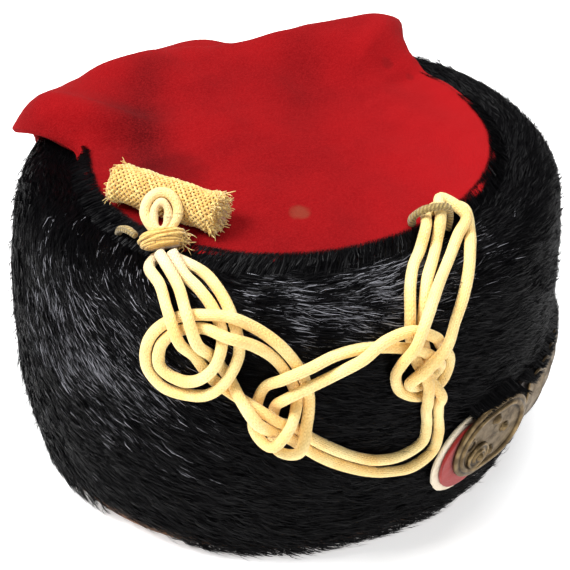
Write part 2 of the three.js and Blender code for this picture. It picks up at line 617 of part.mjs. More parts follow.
// Chin strap: a leather strap on the fur, and a row of lapped brass scales on it
const STRAP_END_DEG = 56;
const STRAP_STEPS = 30;
const strapSections = [];
for (let step = 0; step <= STRAP_STEPS; step += 1) {
  const aroundDeg = mix(-STRAP_END_DEG, STRAP_END_DEG, step / STRAP_STEPS);
  const frame = chainFrame(aroundDeg, GAP);
  const half = STRAP_WIDTH / 2;
  const corners = [[-half, 0], [half, 0], [half, STRAP_THICK], [-half, STRAP_THICK]];
  strapSections.push(corners.map(([y, z]) => new THREE.Vector3(0, y, z).applyMatrix4(frame).toArray()));
}
addNode("chin_strap", cappedLoft(strapSections), STRAP_LEATHER);

function scaleShape(width, length) {
  const half = width / 2;
  const shape = new THREE.Shape();
  shape.moveTo(0, -half * 0.86);
  shape.lineTo(length * 0.45, -half);
  shape.quadraticCurveTo(length * 1.05, -half * 0.5, length, 0);
  shape.quadraticCurveTo(length * 1.05, half * 0.5, length * 0.45, half);
  shape.lineTo(0, half * 0.86);
  shape.closePath();
  return shape;
}

const SCALES_END_DEG = 52.5;
const SCALES_PARTING_DEG = 2.2;        // half of the gap between the two rows
const SCALE_LENGTH = 9.6 + SCALE_OVERLAP;
const SCALE_TILT = radians(9.5);

// The degrees at a share of the way along one row of scales
function chainDegrees(share) {
  const steps = 200;
  const places = [];
  const runs = [0];
  for (let step = 0; step <= steps; step += 1) {
    const aroundDeg = mix(SCALES_END_DEG, SCALES_PARTING_DEG, step / steps);
    places.push(layPoint(aroundDeg, chainHeight(aroundDeg), 0));
    if (step > 0) runs.push(runs[step - 1] + places[step].distanceTo(places[step - 1]));
  }
  const index = runs.findIndex((run) => run >= share * runs[steps]);
  return mix(SCALES_END_DEG, SCALES_PARTING_DEG, index / steps);
}

function chinScale(aroundDeg, name) {
  const width = mix(STRAP_WIDTH - 1, STRAP_WIDTH + 5, Math.abs(aroundDeg) / STRAP_END_DEG);
  const options = { depth: SCALE_THICK, bevelEnabled: false, curveSegments: 4 };
  const scale = new THREE.ExtrudeGeometry(scaleShape(width, SCALE_LENGTH), options);
  scale.translate(-SCALE_LENGTH / 2, 0, 0).rotateY(-SCALE_TILT);
  if (aroundDeg > 0) scale.rotateZ(Math.PI);
  scale.translate(0, 0, STRAP_THICK + 1.9);
  addNode(name, scale.applyMatrix4(chainFrame(aroundDeg, GAP)), OLD_BRASS);
}

for (let index = 0; index < SCALES / 2; index += 1) {
  const aroundDeg = chainDegrees((index + 0.5) / (SCALES / 2));
  const place = String(index + 1).padStart(2, "0");
  chinScale(-aroundDeg, `chin_scale_right_${place}`);
  chinScale(aroundDeg, `chin_scale_left_${place}`);
}

// The origin stands under the middle of everything but the cap line
const CAP_LINE = ["line_cord_1", "line_cord_2", "toggle", "toggle_ring", "neck_binding"];
group.updateMatrixWorld(true);
const box = new THREE.Box3();
for (const mesh of group.children) {
  if (!CAP_LINE.includes(mesh.name)) box.expandByObject(mesh, true);
}
const middle = box.getCenter(new THREE.Vector3());
group.position.set(-middle.x, -middle.y, -box.min.z);
group.updateMatrixWorld(true);

export default group;
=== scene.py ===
# %% [markdown]
# # A hussar's busby
#
# An oval cap of short black fur with a red cloth bag, a doubled cap line in knots, a wool
# toggle and a brass scale chin strap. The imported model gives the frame, and this lesson
# gives each piece the surface that it has on the real cap.

import math

import bpy
import numpy as np
from mathutils import Matrix, Vector


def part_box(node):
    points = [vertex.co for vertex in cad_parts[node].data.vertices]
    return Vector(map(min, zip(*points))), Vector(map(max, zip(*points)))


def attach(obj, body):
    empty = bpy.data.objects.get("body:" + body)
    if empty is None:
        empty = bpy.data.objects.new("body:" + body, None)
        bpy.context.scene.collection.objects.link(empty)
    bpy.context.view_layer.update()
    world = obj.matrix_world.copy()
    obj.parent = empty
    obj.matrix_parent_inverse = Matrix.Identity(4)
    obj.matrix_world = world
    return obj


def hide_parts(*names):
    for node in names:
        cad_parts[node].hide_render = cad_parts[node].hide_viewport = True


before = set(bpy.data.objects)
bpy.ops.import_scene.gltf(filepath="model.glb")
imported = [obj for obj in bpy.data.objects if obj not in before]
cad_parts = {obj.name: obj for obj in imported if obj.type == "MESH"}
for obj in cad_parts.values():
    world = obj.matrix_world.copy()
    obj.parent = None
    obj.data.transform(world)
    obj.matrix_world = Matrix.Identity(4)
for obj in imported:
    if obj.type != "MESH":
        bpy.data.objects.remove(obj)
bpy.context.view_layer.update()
MM = 0.001
fur_low, fur_high = (Vector(corner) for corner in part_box("fur_body"))
HAT = Vector(((fur_low.x + fur_high.x) / 2, (fur_low.y + fur_high.y) / 2, 0))
print("hat axis at", round(HAT.x, 4), "m, fur up to", round(fur_high.z, 4), "m")

# %% [markdown]
# The camera stands above the wearer's right and rear, as in the photograph, with a long
# lens and a slight roll. It is placed from the angles that fit the cap's outline.

# %% The camera
CAMERA_TILT = 0.675
CAMERA_TURN = 0.450
CAMERA_ROLL = 0.041
CAMERA_DISTANCE = 0.665
CAMERA_LENS = 94.53
CAMERA_SHIFT = (-0.00462, -0.007)
LOOK_AT = HAT + Vector((0, 0, 0.068))

tilt_cos, tilt_sin = math.cos(CAMERA_TILT), math.sin(CAMERA_TILT)
turn_cos, turn_sin = math.cos(CAMERA_TURN), math.sin(CAMERA_TURN)
view_back = Vector((-turn_sin * tilt_cos, -turn_cos * tilt_cos, tilt_sin))
view_right = Vector((turn_cos, -turn_sin, 0))
view_up = view_back.cross(view_right)
roll_cos, roll_sin = math.cos(CAMERA_ROLL), math.sin(CAMERA_ROLL)
image_right = view_right * roll_cos + view_up * roll_sin
image_up = view_up * roll_cos - view_right * roll_sin

camera_data = bpy.data.cameras.new("camera")
camera_data.lens = CAMERA_LENS
camera_data.shift_x, camera_data.shift_y = CAMERA_SHIFT
camera = bpy.data.objects.new("camera", camera_data)
bpy.context.scene.collection.objects.link(camera)
axes = Matrix((image_right, image_up, view_back)).transposed().to_4x4()
camera.matrix_world = Matrix.Translation(LOOK_AT + view_back * CAMERA_DISTANCE) @ axes
bpy.context.scene.camera = camera

# %% [markdown]
# Shader arithmetic reads best as plain formulas, so a term wraps a socket and knows how to
# add, multiply and mix. A finish is one material, its shader and the terms that feed it.

# %% Shader terms
class Term:
    """A socket in a finish's node tree that takes part in plain arithmetic"""

    def __init__(self, finish, socket):
        self.finish = finish
        self.socket = socket

    def maths(self, operation, *values):
        return self.finish.node("ShaderNodeMath", dict(enumerate(values)), operation=operation)

    def __add__(self, other):
        return self.maths("ADD", self, other)

    def __sub__(self, other):
        return self.maths("SUBTRACT", self, other)

    def __rsub__(self, other):
        return self.maths("SUBTRACT", other, self)

    def __mul__(self, other):
        return self.maths("MULTIPLY", self, other)

    def __truediv__(self, other):
        return self.maths("DIVIDE", self, other)

    def sine(self):
        return self.maths("SINE", self)

    def clamp(self):
        return self.maths("MINIMUM", self.maths("MAXIMUM", self, 0), 1)

    def fold(self, size):
        return self.maths("PINGPONG", self, size)

    def smooth(self, start, end):
        inputs = {"Value": self, "From Min": start, "From Max": end}
        return self.finish.node("ShaderNodeMapRange", inputs, interpolation_type="SMOOTHSTEP")

    __radd__ = __add__
    __rmul__ = __mul__


class Finish:
    """One material made of nodes"""

    def __init__(self, name, **plain):
        self.material = bpy.data.materials.new(name)
        self.material.use_nodes = True
        self.tree = self.material.node_tree
        self.shader = self.tree.nodes["Principled BSDF"]
        for socket, value in plain.items():
            self.shader.inputs[socket.replace("_", " ")].default_value = value

    def link(self, value, socket):
        if isinstance(value, Term):
            self.tree.links.new(value.socket, socket)
        else:
            socket.default_value = value

    def node(self, kind, inputs=None, output=0, **settings):
        node = self.tree.nodes.new(kind)
        for setting, value in settings.items():
            setattr(node, setting, value)
        for key, value in (inputs or {}).items():
            self.link(value, node.inputs[key])
        return Term(self, node.outputs[output])

    def mix(self, share, first, second):
        inputs = {0: share, 6: first, 7: second}
        return self.node("ShaderNodeMix", inputs, output=2, data_type="RGBA", clamp_factor=True)

    def noise(self, size, detail=3, roughness=0.55):
        """Noise from 0 to 1 whose grains are about size metres across"""
        inputs = {"Scale": 1 / size, "Detail": detail, "Roughness": roughness}
        inputs["Vector"] = self.node("ShaderNodeTexCoord", output="Object")
        return self.node("ShaderNodeTexNoise", inputs, output="Fac")

    def axes(self, kind, output):
        """The X, Y and Z parts of a coordinate"""
        place = self.node(kind, output=output)
        return [self.node("ShaderNodeSeparateXYZ", {0: place}, output=axis) for axis in "XYZ"]

    def attribute(self, name):
        return self.node("ShaderNodeAttribute", output="Fac", attribute_name=name)

    def bump(self, height, distance, strength):
        inputs = {"Height": height, "Distance": distance, "Strength": strength}
        self.link(self.node("ShaderNodeBump", inputs), self.shader.inputs["Normal"])

    def feed(self, **parts):
        for socket, value in parts.items():
            self.link(value, self.shader.inputs[socket.replace("_", " ")])

    def cover(self, obj, slot):
        obj.data.materials.clear()
        obj.data.materials.append(self.material)


def dress(piece, finish, slot, solid):
    """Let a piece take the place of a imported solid, in its finish"""
    finish.cover(piece, slot)
    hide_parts(solid)
    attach(piece, "root")
    print(piece.name, "takes the place of", solid)


def colour(red, green, blue):
    """An sRGB colour from 0 to 255, as linear light"""
    values = [part / 255 for part in (red, green, blue)]
    linear = [v / 12.92 if v <= 0.04045 else ((v + 0.055) / 1.055) ** 2.4 for v in values]
    return (*linear, 1)

# %% [markdown]
# All soft pieces lie on the same form, the fur's outside. It is the profile of the part's
# source: a side that swells a little, then a rolled top edge that turns in to the seam.
# A place on it is degrees round from the front, a distance up, and a stand off it.

# %% The form of the fur
HALF_LENGTH, HALF_WIDTH, HEIGHT = 114, 100.3, 136
WALL_BULGE, TOP_ROUND, PILE = 7.2, 14.2, 2
SEAM_INSET, GAP, CLOTH_RISE = 26.5, 0.3, 5.5
SHOULDER = HEIGHT - TOP_ROUND
TURNED = SHOULDER + TOP_ROUND * math.pi / 2
SEAM_UP = TURNED + SEAM_INSET - TOP_ROUND
SIDES = (("right", -1), ("left", 1))


def smooth(value):
    share = np.clip(value, 0, 1)
    return share * share * (3 - 2 * share)


def mix(first, second, share):
    return first + (second - first) * share


def fur_profile(up):
    turn = np.clip((up - SHOULDER) / TOP_ROUND, 0, math.pi / 2)
    height = np.minimum(up, SHOULDER) + TOP_ROUND * np.sin(turn)
    share = height / HEIGHT
    offset = 4 * WALL_BULGE * share * (1 - share) - TOP_ROUND * (1 - np.cos(turn))
    return offset - np.maximum(0, up - TURNED), height


def cord_profile(up):
    """The same, over the bag's soft edge past the seam"""
    offset, height = fur_profile(up)
    return offset, height + CLOTH_RISE * smooth((up - SEAM_UP + 8) / 7)


def oval_point(angle, offset, height):
    parts = (HALF_LENGTH + offset) * np.cos(angle), (HALF_WIDTH + offset) * np.sin(angle)
    return np.stack(np.broadcast_arrays(*parts, height), -1)


def outward(around, up, profile=fur_profile):
    """The direction out of the form at each place"""
    angle = np.radians(around)
    above, below = profile(up + 0.5), profile(up - 0.5)
    run = np.hypot(above[0] - below[0], above[1] - below[1])
    flat, rise = (above[1] - below[1]) / run, (below[0] - above[0]) / run
    x, y = np.cos(angle) / HALF_LENGTH, np.sin(angle) / HALF_WIDTH
    size = np.hypot(x, y)
    return np.stack(np.broadcast_arrays(x / size * flat, y / size * flat, rise), -1)


def outside(around, up, stand, profile=fur_profile):
    """Places in millimetres, stand off the form along its outward direction"""
    around, up, stand = np.broadcast_arrays(around, up, stand)
    base = oval_point(np.radians(around), *profile(up))
    return base + outward(around, up, profile) * stand[..., None]


def unit(vectors):
    return vectors / np.linalg.norm(vectors, axis=-1, keepdims=True)

# %% [markdown]
# Meshes are built from arrays, which keeps a quarter of a million hairs quick. A grid of
# points closes into tubes and discs, and a ribbon is the cheapest shape that reads as hair.

# %% Meshes from arrays
def mesh_object(name, points, triangles, uv=None, **tones):
    """A smooth mesh piece from points in millimetres in the hat's frame"""
    mesh = bpy.data.meshes.new(name)
    points = np.asarray(points, dtype=float).reshape(-1, 3) * MM + np.array(HAT)
    triangles = np.asarray(triangles, dtype=np.int32).reshape(-1, 3)
    mesh.vertices.add(len(points))
    mesh.vertices.foreach_set("co", points.ravel())
    mesh.loops.add(triangles.size)
    mesh.loops.foreach_set("vertex_index", triangles.ravel())
    mesh.polygons.add(len(triangles))
    mesh.polygons.foreach_set("loop_start", np.arange(0, triangles.size, 3, dtype=np.int32))
    mesh.polygons.foreach_set("use_smooth", np.ones(len(triangles), dtype=bool))
    for tone, values in tones.items():
        layer = mesh.attributes.new(tone, "FLOAT", "POINT")
        layer.data.foreach_set("value", np.asarray(values, dtype=np.float32).ravel())
    if uv is not None:
        layer = mesh.uv_layers.new(name="UVMap")
        layer.data.foreach_set("uv", np.asarray(uv, dtype=np.float32)[triangles.ravel()].ravel())
    mesh.update(calc_edges=True)
    obj = bpy.data.objects.new(name, mesh)
    bpy.context.scene.collection.objects.link(obj)
    return obj


def join_parts(parts):
    """Several (points, triangles, tone) parts as one set of arrays"""
    points, triangles, tones, start = [], [], [], 0
    for part_points, part_triangles, tone in parts:
        part_points = np.asarray(part_points, dtype=float).reshape(-1, 3)
        points.append(part_points)
        triangles.append(np.asarray(part_triangles).reshape(-1, 3) + start)
        tones.append(np.broadcast_to(np.asarray(tone, dtype=float).ravel(), len(part_points)))
        start += len(part_points)
    return np.concatenate(points), np.concatenate(triangles), np.concatenate(tones)


def grid_triangles(rows, columns, close_rows=False, close_columns=False):
    """Triangles of a rows x columns grid of points, closed on itself where asked"""
    row, column = np.meshgrid(
        np.arange(rows if close_rows else rows - 1),
        np.arange(columns if close_columns else columns - 1),
        indexing="ij",
    )
    below, beside = (row + 1) % rows, (column + 1) % columns
    a, b = row * columns + column, row * columns + beside
    c, d = below * columns + beside, below * columns + column
    return np.stack([np.stack([a, b, c], -1), np.stack([a, c, d], -1)], 2).reshape(-1, 3)


def circle(sides):
    return 2 * math.pi * np.arange(sides) / sides


def tube_triangles(rows, sides):
    """A grid closed round its columns, and a fan over either end"""
    last = (rows - 1) * sides
    caps = [[0, k + 1, k] for k in range(1, sides - 1)]
    caps += [[last, last + k, last + k + 1] for k in range(1, sides - 1)]
    return np.concatenate([grid_triangles(rows, sides, close_columns=True), caps])


def cord_map(steps, sides, step):
    """Texture places on a cord: round it from 1 to 0 and back, and millimetres along it"""
    folded = np.abs(2 * np.arange(sides) / sides - 1)
    return np.stack([np.tile(folded, steps), np.repeat(np.arange(steps) * step, sides)], 1)


def ribbons(paths, across, widths):
    """Tapered flat hairs: paths is hairs x steps x 3, and each ends in a point"""
    count, steps = paths.shape[:2]
    side = across[:, None] * widths[:, :-1, None] / 2
    pairs = np.stack([paths[:, :-1] - side, paths[:, :-1] + side], 2).reshape(count, -1, 3)
    points = np.concatenate([pairs, paths[:, -1:]], 1)
    size = 2 * steps - 1
    local = [[2 * k, 2 * k + 1, 2 * k + 3] for k in range(steps - 2)]
    local += [[2 * k, 2 * k + 3, 2 * k + 2] for k in range(steps - 2)]
    local.append([size - 3, size - 2, size - 1])
    triangles = np.arange(count)[:, None, None] * size + np.array(local)[None]
    return points.reshape(-1, 3), triangles.reshape(-1, 3)

# %% [markdown]
# Waves give smooth seeded variation, so that tufts, folds and wear follow each other over
# the form. A sweep lays a tube along a path, and a spline makes the path from a few places.

# %% Waves, tubes and curves
class Waves:
    """Smooth seeded variation over space, about -1 to 1, with waves of about that size"""

    def __init__(self, seed, size):
        count = 9
        chance = np.random.default_rng(seed)
        self.ways = unit(chance.normal(size=(count, 3))) * 2 * math.pi / size
        self.ways *= chance.uniform(0.6, 1.5, (count, 1))
        self.starts = chance.uniform(0, 2 * math.pi, count)

    def __call__(self, places):
        waves = np.sin(places @ self.ways.T + self.starts)
        return waves.sum(-1) / math.sqrt(len(self.starts)) / 1.2


def sweep(path, radii, sides, squash=None):
    """A tube round a path, with a radius at each step, and a share added round it"""
    path = np.asarray(path, dtype=float)
    ahead = unit(np.gradient(path, axis=0))
    normals = np.zeros_like(path)
    start = np.cross(ahead[0], [0.3, 0.2, 1.0])
    normals[0] = start / np.linalg.norm(start)
    for i in range(1, len(path)):
        normal = normals[i - 1] - ahead[i] * (normals[i - 1] @ ahead[i])
        normals[i] = normal / np.linalg.norm(normal)
    sideways = np.cross(ahead, normals)
    theta = circle(sides)
    radii = np.broadcast_to(np.asarray(radii, dtype=float), len(path))[:, None]
    if squash is not None:
        radii = radii * (1 + squash(theta[None], np.arange(len(path))[:, None]))
    rings = normals[:, None] * np.cos(theta)[None, :, None]
    rings = rings + sideways[:, None] * np.sin(theta)[None, :, None]
    points = path[:, None] + rings * radii[..., None]
    return points.reshape(-1, 3), tube_triangles(len(path), sides)


def spline(places, step):
    """A centripetal curve through places, as points about step apart"""
    places = np.asarray(places, dtype=float)
    ends = 2 * places[0] - places[1], 2 * places[-1] - places[-2]
    guide = np.vstack([ends[0], places, ends[1]])
    knots = np.concatenate([[0], np.cumsum(np.linalg.norm(np.diff(guide, axis=0), axis=1) ** 0.5)])
    dense, cuts = [], 24
    for i in range(1, len(guide) - 2):
        p, k = guide[i - 1 : i + 3], knots[i - 1 : i + 3]
        t = np.linspace(k[1], k[2], cuts, endpoint=False)[:, None]
        first = [
            ((k[j + 1] - t) * p[j] + (t - k[j]) * p[j + 1]) / (k[j + 1] - k[j])
            for j in range(3)
        ]
        second = [
            ((k[j + 2] - t) * first[j] + (t - k[j]) * first[j + 1]) / (k[j + 2] - k[j])
            for j in range(2)
        ]
        dense.append(((k[2] - t) * second[0] + (t - k[1]) * second[1]) / (k[2] - k[1]))
    dense = np.vstack([*dense, places[-1:]])
    run = np.concatenate([[0], np.cumsum(np.linalg.norm(np.diff(dense, axis=0), axis=1))])
    marks = np.linspace(0, run[-1], max(3, round(run[-1] / step) + 1))
    return np.stack([np.interp(marks, run, dense[:, axis]) for axis in range(3)], 1), run[-1]


# %% [markdown]
# The cap line is a round cord, plaited so finely that it looks smooth, with a faint crease
# where two plaits meet. It has yellowed, and near the toggle it is worn to a pale grey.
# The plait is bump, with slanted stitches in columns round the cord, and painted shade darkens the
# gold in the grooves between them.

# %% Finish of the cap line
cord_finish = Finish("cap line cord", Roughness=0.62, Sheen_Weight=0.25, Sheen_Roughness=0.4)
cord_round, cord_along, _ = cord_finish.axes("ShaderNodeTexCoord", "UV")
cord_column = cord_round * 9
cord_slant = cord_column.fold(1)
cord_stitch = ((cord_along * 0.62 + cord_slant * 0.55) * (2 * math.pi)).sine()
cord_groove = (cord_column * math.pi).sine()
cord_wear = cord_finish.attribute("wear")
cord_dirt = cord_finish.noise(0.018, 4).smooth(0.35, 0.75)
cord_clean = cord_finish.mix(cord_dirt, colour(255, 230, 160), colour(250, 206, 122))
cord_worn = cord_finish.mix(cord_wear, cord_clean, colour(236, 216, 178))
# Painted shade: the gold is darkened in the grooves between the stitches.
cord_stitch_shade = (cord_stitch * -0.5 + 0.1).clamp() * 0.3
cord_shaded = cord_finish.mix(cord_stitch_shade, cord_worn, colour(214, 166, 78))
cord_finish.feed(Base_Color=cord_shaded)
cord_finish.bump(cord_stitch * 0.5 + cord_groove * cord_groove * 0.8, 0.0002, 0.7)

# %% [markdown]
# The two strands follow the routes that the part's source gives, through three loose knots.
# Each is a tube whose section is pressed a little flat here and there, and creased along.

# %% Routes of the two strands
CORD, CORD_STEP, CORD_SIDES = 4.5, 0.9, 20
CORD_REST = CORD / 2 + 2 * GAP - PILE
CORD_1 = [
    # degrees round, up, off the form
    (-141.1, 152.4, 2.2), (-136, 144.3, 0.5), (-131.4, 139.5, 0), (-127.3, 133.3, 0.4),
    (-124.8, 125.2, 0), (-125.2, 116.6, 5.2), (-128, 108.6, 4.6), (-132.2, 103.6, 0.7),
    (-136.4, 107.2, 0), (-136.5, 116.6, 0), (-133.3, 124.1, 0), (-128.4, 126.8, 1.3),
    (-123.6, 126.1, 7.1), (-118.7, 123.1, 2.4), (-115, 116.8, 0), (-112.3, 108.5, 0),
    (-110.7, 99.1, 0), (-112.1, 92.3, 9), (-115.1, 84.7, 11), (-118.2, 85.8, 2.6), (-118, 94.8, 0),
    (-116.6, 103.9, 0), (-113.5, 110.9, 5.1), (-108.8, 114.6, 4), (-103.8, 116.6, 0.1),
    (-98.7, 117.9, 0), (-93.5, 117, 1.7), (-88.7, 114.9, 5.6), (-85.1, 108, 5.2), (-83, 99.3, 0),
    (-86.6, 94.5, 0), (-90.4, 100.9, 5.1), (-88.3, 109.1, 9.8), (-84.6, 115.6, 9.6),
    (-80.7, 120.8, 3.6), (-77, 126.9, 0.4), (-73.4, 133.8, 0), (-69.5, 140.3, 0.2),
    (-65.3, 146.1, 0), (-61.9, 154.1, 0.5), (-65.6, 160.9, 0), (-71.2, 160.4, 0), (-75.5, 154.8, 1),
    (-79.9, 149.5, 0.2), (-83.9, 143.4, 0), (-87.3, 136, 0.2), (-89.1, 127.1, 0.4),
    (-89.2, 117.5, 0), (-88.6, 108.6, 2), (-87.3, 100.5, 7), (-86.9, 90.7, 6.3), (-85.7, 81.8, 1.8),
    (-84.7, 72.6, 0), (-85.2, 63.3, 0), (-89.8, 59.2, 0), (-94.9, 60.8, 0), (-99.5, 65.8, 0),
    (-103.6, 71.8, 0), (-107.5, 78.2, 0), (-111.1, 85.2, 0), (-114, 92.3, 5.8), (-118.2, 98.1, 4.6),
    (-122.8, 100.8, 0), (-126.7, 107.1, 0), (-129.7, 114.9, 0), (-132.1, 122.5, 5.3),
    (-135.4, 130.2, 4.6), (-139.2, 136.9, 2.3), (-144.5, 143.3, 0), (-145.3, 149.7, -0.1),
]
CORD_2 = [
    # degrees round, up, off the form
    (-142, 151.6, -2.1), (-132.5, 148.3, 0), (-128.4, 142.3, 0.1), (-124.8, 135.4, 0.2),
    (-122.2, 127.1, 0.4), (-121.5, 117.9, 0.4), (-123.3, 109.7, 5.2), (-126.3, 102.2, 4.3),
    (-130.5, 97.4, 0.4), (-135.6, 98, 0), (-139.1, 105.1, 0), (-139.5, 114.5, 0),
    (-137.5, 123.2, 0), (-133.4, 129, 0), (-128.6, 130.8, 3.6), (-123.5, 130.9, 6.6),
    (-118.7, 128.4, 1.5), (-114.5, 123.1, 0), (-111.4, 115.5, 0), (-109.3, 106.8, 0),
    (-108.4, 97.4, 0), (-108.8, 88.2, 2.2), (-110.3, 79.3, 8.2), (-113.8, 75.3, 2.5),
    (-114.9, 85, 0), (-114.6, 94.7, 0), (-113, 102.5, 5.6), (-108.3, 107.3, 4.7),
    (-103.4, 110.7, 2.8), (-99.3, 116.5, 5), (-95.1, 122, 4.4), (-89.9, 123, 4.5),
    (-85.5, 118.3, 5.2), (-82.8, 110.4, 0.1), (-80.5, 101.9, 0), (-82.1, 92.5, 0), (-86.7, 88.8, 0),
    (-90.9, 94.2, 0), (-92.4, 103.1, 1.6), (-92.4, 111.9, 6.5), (-90.6, 120.3, 9.9),
    (-87.3, 127.2, 8), (-83.2, 132.2, 4), (-78.8, 137.1, 1.4), (-74.4, 141.8, 0),
    (-69.5, 146.3, 2.3), (-64.9, 152.7, 4), (-66.7, 160, 5), (-71.3, 154.7, 2.9), (-75.2, 148.5, 0),
    (-79.2, 142.5, 0.3), (-83.2, 136.2, 0.1), (-86.1, 128.2, 0.7), (-86.8, 118.8, 0),
    (-86.1, 109.2, 0), (-86.2, 100.4, 3), (-84.3, 91.9, 6.6), (-83.1, 82.8, 2), (-82.1, 73.7, 0),
    (-81.6, 64.2, 0), (-82.5, 54.9, 0), (-86.8, 50.1, 0), (-92, 51.7, 0), (-96.7, 55.8, 0),
    (-101.1, 61.2, 0), (-105.2, 67.2, 0), (-108.9, 73.9, 0), (-112, 81.3, 2), (-115.1, 87.9, 6),
    (-117.8, 95.3, 10.3), (-120.6, 102.4, 6.6), (-123.3, 107.9, 0), (-126.4, 115.9, 0),
    (-128.8, 123.2, 5.9), (-131.6, 130.8, 6.7), (-135.2, 137.6, 3.1), (-143.3, 147.3, 4.6),
]

# %% The two strands
def cap_line(name, rows, seed):
    around, up, lift = np.array(rows).T
    path, length = spline(outside(around, up, CORD_REST + lift, cord_profile), CORD_STEP)
    pressed = Waves(seed, 30)(path) * 0.05
    crease = Waves(seed + 1, 60)(path) * 2.5
    width = CORD / 2 * (1 + 0.035 * Waves(seed + 2, 22)(path))

    def section(theta, step):
        flat = pressed[step] * np.cos(2 * theta)
        return flat - 0.055 * np.exp(-((np.sin((theta - crease[step]) / 2) * 6) ** 2))

    points, triangles = sweep(path, width, CORD_SIDES, section)
    run = np.arange(len(path)) * CORD_STEP
    ends = np.exp(-((run - 2) / 9) ** 2) + np.exp(-((length - run - 2) / 9) ** 2)
    uv, wear = cord_map(len(path), CORD_SIDES, CORD_STEP), np.repeat(ends, CORD_SIDES)
    cord = mesh_object(name + "_plaited", points, triangles, uv, wear=wear)
    dress(cord, cord_finish, "cap_line_cord", name)
    print(name, "is", round(length), "mm long")
    return cord, path, length


first_cord, first_path, first_length = cap_line("line_cord_1", CORD_1, 11)
second_cord, second_path, second_length = cap_line("line_cord_2", CORD_2, 21)

# %% [markdown]
# The toggle is a bar wrapped in a braided sleeve of thick wool. Two families of flat yarns
# wind round it in opposite ways and pass over and under each other. Its left end is drawn
# shut in lumps, and the right end is cut and frayed.

# %% Finish of the wool
yellow_wool = Finish("yellow wool", Roughness=0.9, Sheen_Weight=0.5, Sheen_Roughness=0.5)
wool_tone = yellow_wool.attribute("tone")
wool_pale = yellow_wool.mix(wool_tone, colour(214, 160, 62), colour(240, 212, 132))
wool_grain = (yellow_wool.noise(0.0011, 3) - 0.45).smooth(0, 0.3) * 0.6
yellow_wool.feed(Base_Color=yellow_wool.mix(wool_grain, wool_pale, colour(140, 90, 30)))
yellow_wool.bump(yellow_wool.noise(0.0005, 3), 0.0003, 0.8)

# %% The toggle
TOGGLE_MIDDLE = np.array([-65.3, -25.8, HEIGHT + 12])
TOGGLE_TURN = math.radians(-50)
TOGGLE_HALF, TOGGLE_RADIUS = 24, 7.4
TOGGLE_ENDS = [
    # along, share of the radius
    (-1, 0.35), (-0.97, 0.75), (-0.86, 1.04), (-0.72, 0.97),
    (0.1, 1), (0.7, 0.98), (0.84, 1.05), (1, 0.86),
]
YARNS, YARN_STEPS, YARN_TWIST = 20, 84, 2.3 * math.pi
toggle_along = np.array([math.cos(TOGGLE_TURN), math.sin(TOGGLE_TURN), 0])
toggle_side = np.array([-toggle_along[1], toggle_along[0], 0])
lumps = Waves(5, 9)


def toggle_place(along, theta, out):
    """A place on the toggle: along from -1 to 1, round it, and out from its girth"""
    along, theta, out = np.broadcast_arrays(along, theta, out)
    girth = np.interp(along, *zip(*TOGGLE_ENDS)) * TOGGLE_RADIUS + out
    flat = np.stack([along * TOGGLE_HALF, np.cos(theta) * girth, np.sin(theta) * girth], -1)
    girth = girth + lumps(flat) * (0.25 + 0.5 * np.exp(-((along + 0.9) / 0.16) ** 2))
    upright = np.array([0, 0, 1.0])
    across = np.cos(theta)[..., None] * toggle_side + np.sin(theta)[..., None] * upright
    return TOGGLE_MIDDLE + along[..., None] * TOGGLE_HALF * toggle_along + across * girth[..., None]


chance = np.random.default_rng(7)
steps = np.linspace(-1, 0.97, YARN_STEPS)
crossing = 2 * math.pi / YARNS / YARN_TWIST
CORE_RINGS, CORE_SIDES = 30, 24
core = toggle_place(np.linspace(-1, 0.98, CORE_RINGS)[:, None], circle(CORE_SIDES)[None], -0.75)
core_half = toggle_along * TOGGLE_HALF
core_ends = [TOGGLE_MIDDLE - core_half, TOGGLE_MIDDLE + core_half * 0.9]
left_end, right_end = CORE_RINGS * CORE_SIDES, CORE_RINGS * CORE_SIDES + 1
last_ring = (CORE_RINGS - 1) * CORE_SIDES
core_caps = []
for k in range(CORE_SIDES):
    core_caps.append([left_end, (k + 1) % CORE_SIDES, k])
    core_caps.append([right_end, last_ring + k, last_ring + (k + 1) % CORE_SIDES])
core_faces = np.concatenate([grid_triangles(CORE_RINGS, CORE_SIDES, close_columns=True), core_caps])
toggle_parts = [(np.vstack([core.reshape(-1, 3), core_ends]), core_faces, 0.1)]
for yarn in range(YARNS):
    for way in (-1, 1):
        theta = 2 * math.pi * yarn / YARNS + way * YARN_TWIST / 2 * steps
        over = way * 0.3 * np.cos(math.pi * steps / crossing)
        path = toggle_place(steps, theta, over - 0.1)
        points, triangles = sweep(path, 0.5 * (1 + 0.12 * np.sin(steps * 60 + yarn)), 6)
        toggle_parts.append((points, triangles, chance.uniform(0.25, 0.9)))

# %% Frayed ends of the toggle
FIBRE_TAPER = np.array([1, 1, 0.95, 0.85, 0.7, 0.4])


def frayed(roots, ways, lengths, thickness, curl, seed):
    """Loose fibres as thin tubes that start at roots, and bend as they go"""
    dice = np.random.default_rng(seed)
    parts = []
    for root, way, length in zip(roots, ways, lengths):
        bend = dice.normal(size=3) * curl
        turns = np.linspace(0, 1, len(FIBRE_TAPER))[:, None]
        shake = dice.normal(size=(len(turns), 3)) * 0.12
        path = root + np.cumsum(unit(way + bend * turns + shake), 0) * length / len(turns)
        points, triangles = sweep(path, thickness * FIBRE_TAPER, 3)
        parts.append((points, triangles, dice.uniform(0.35, 1)))
    return parts


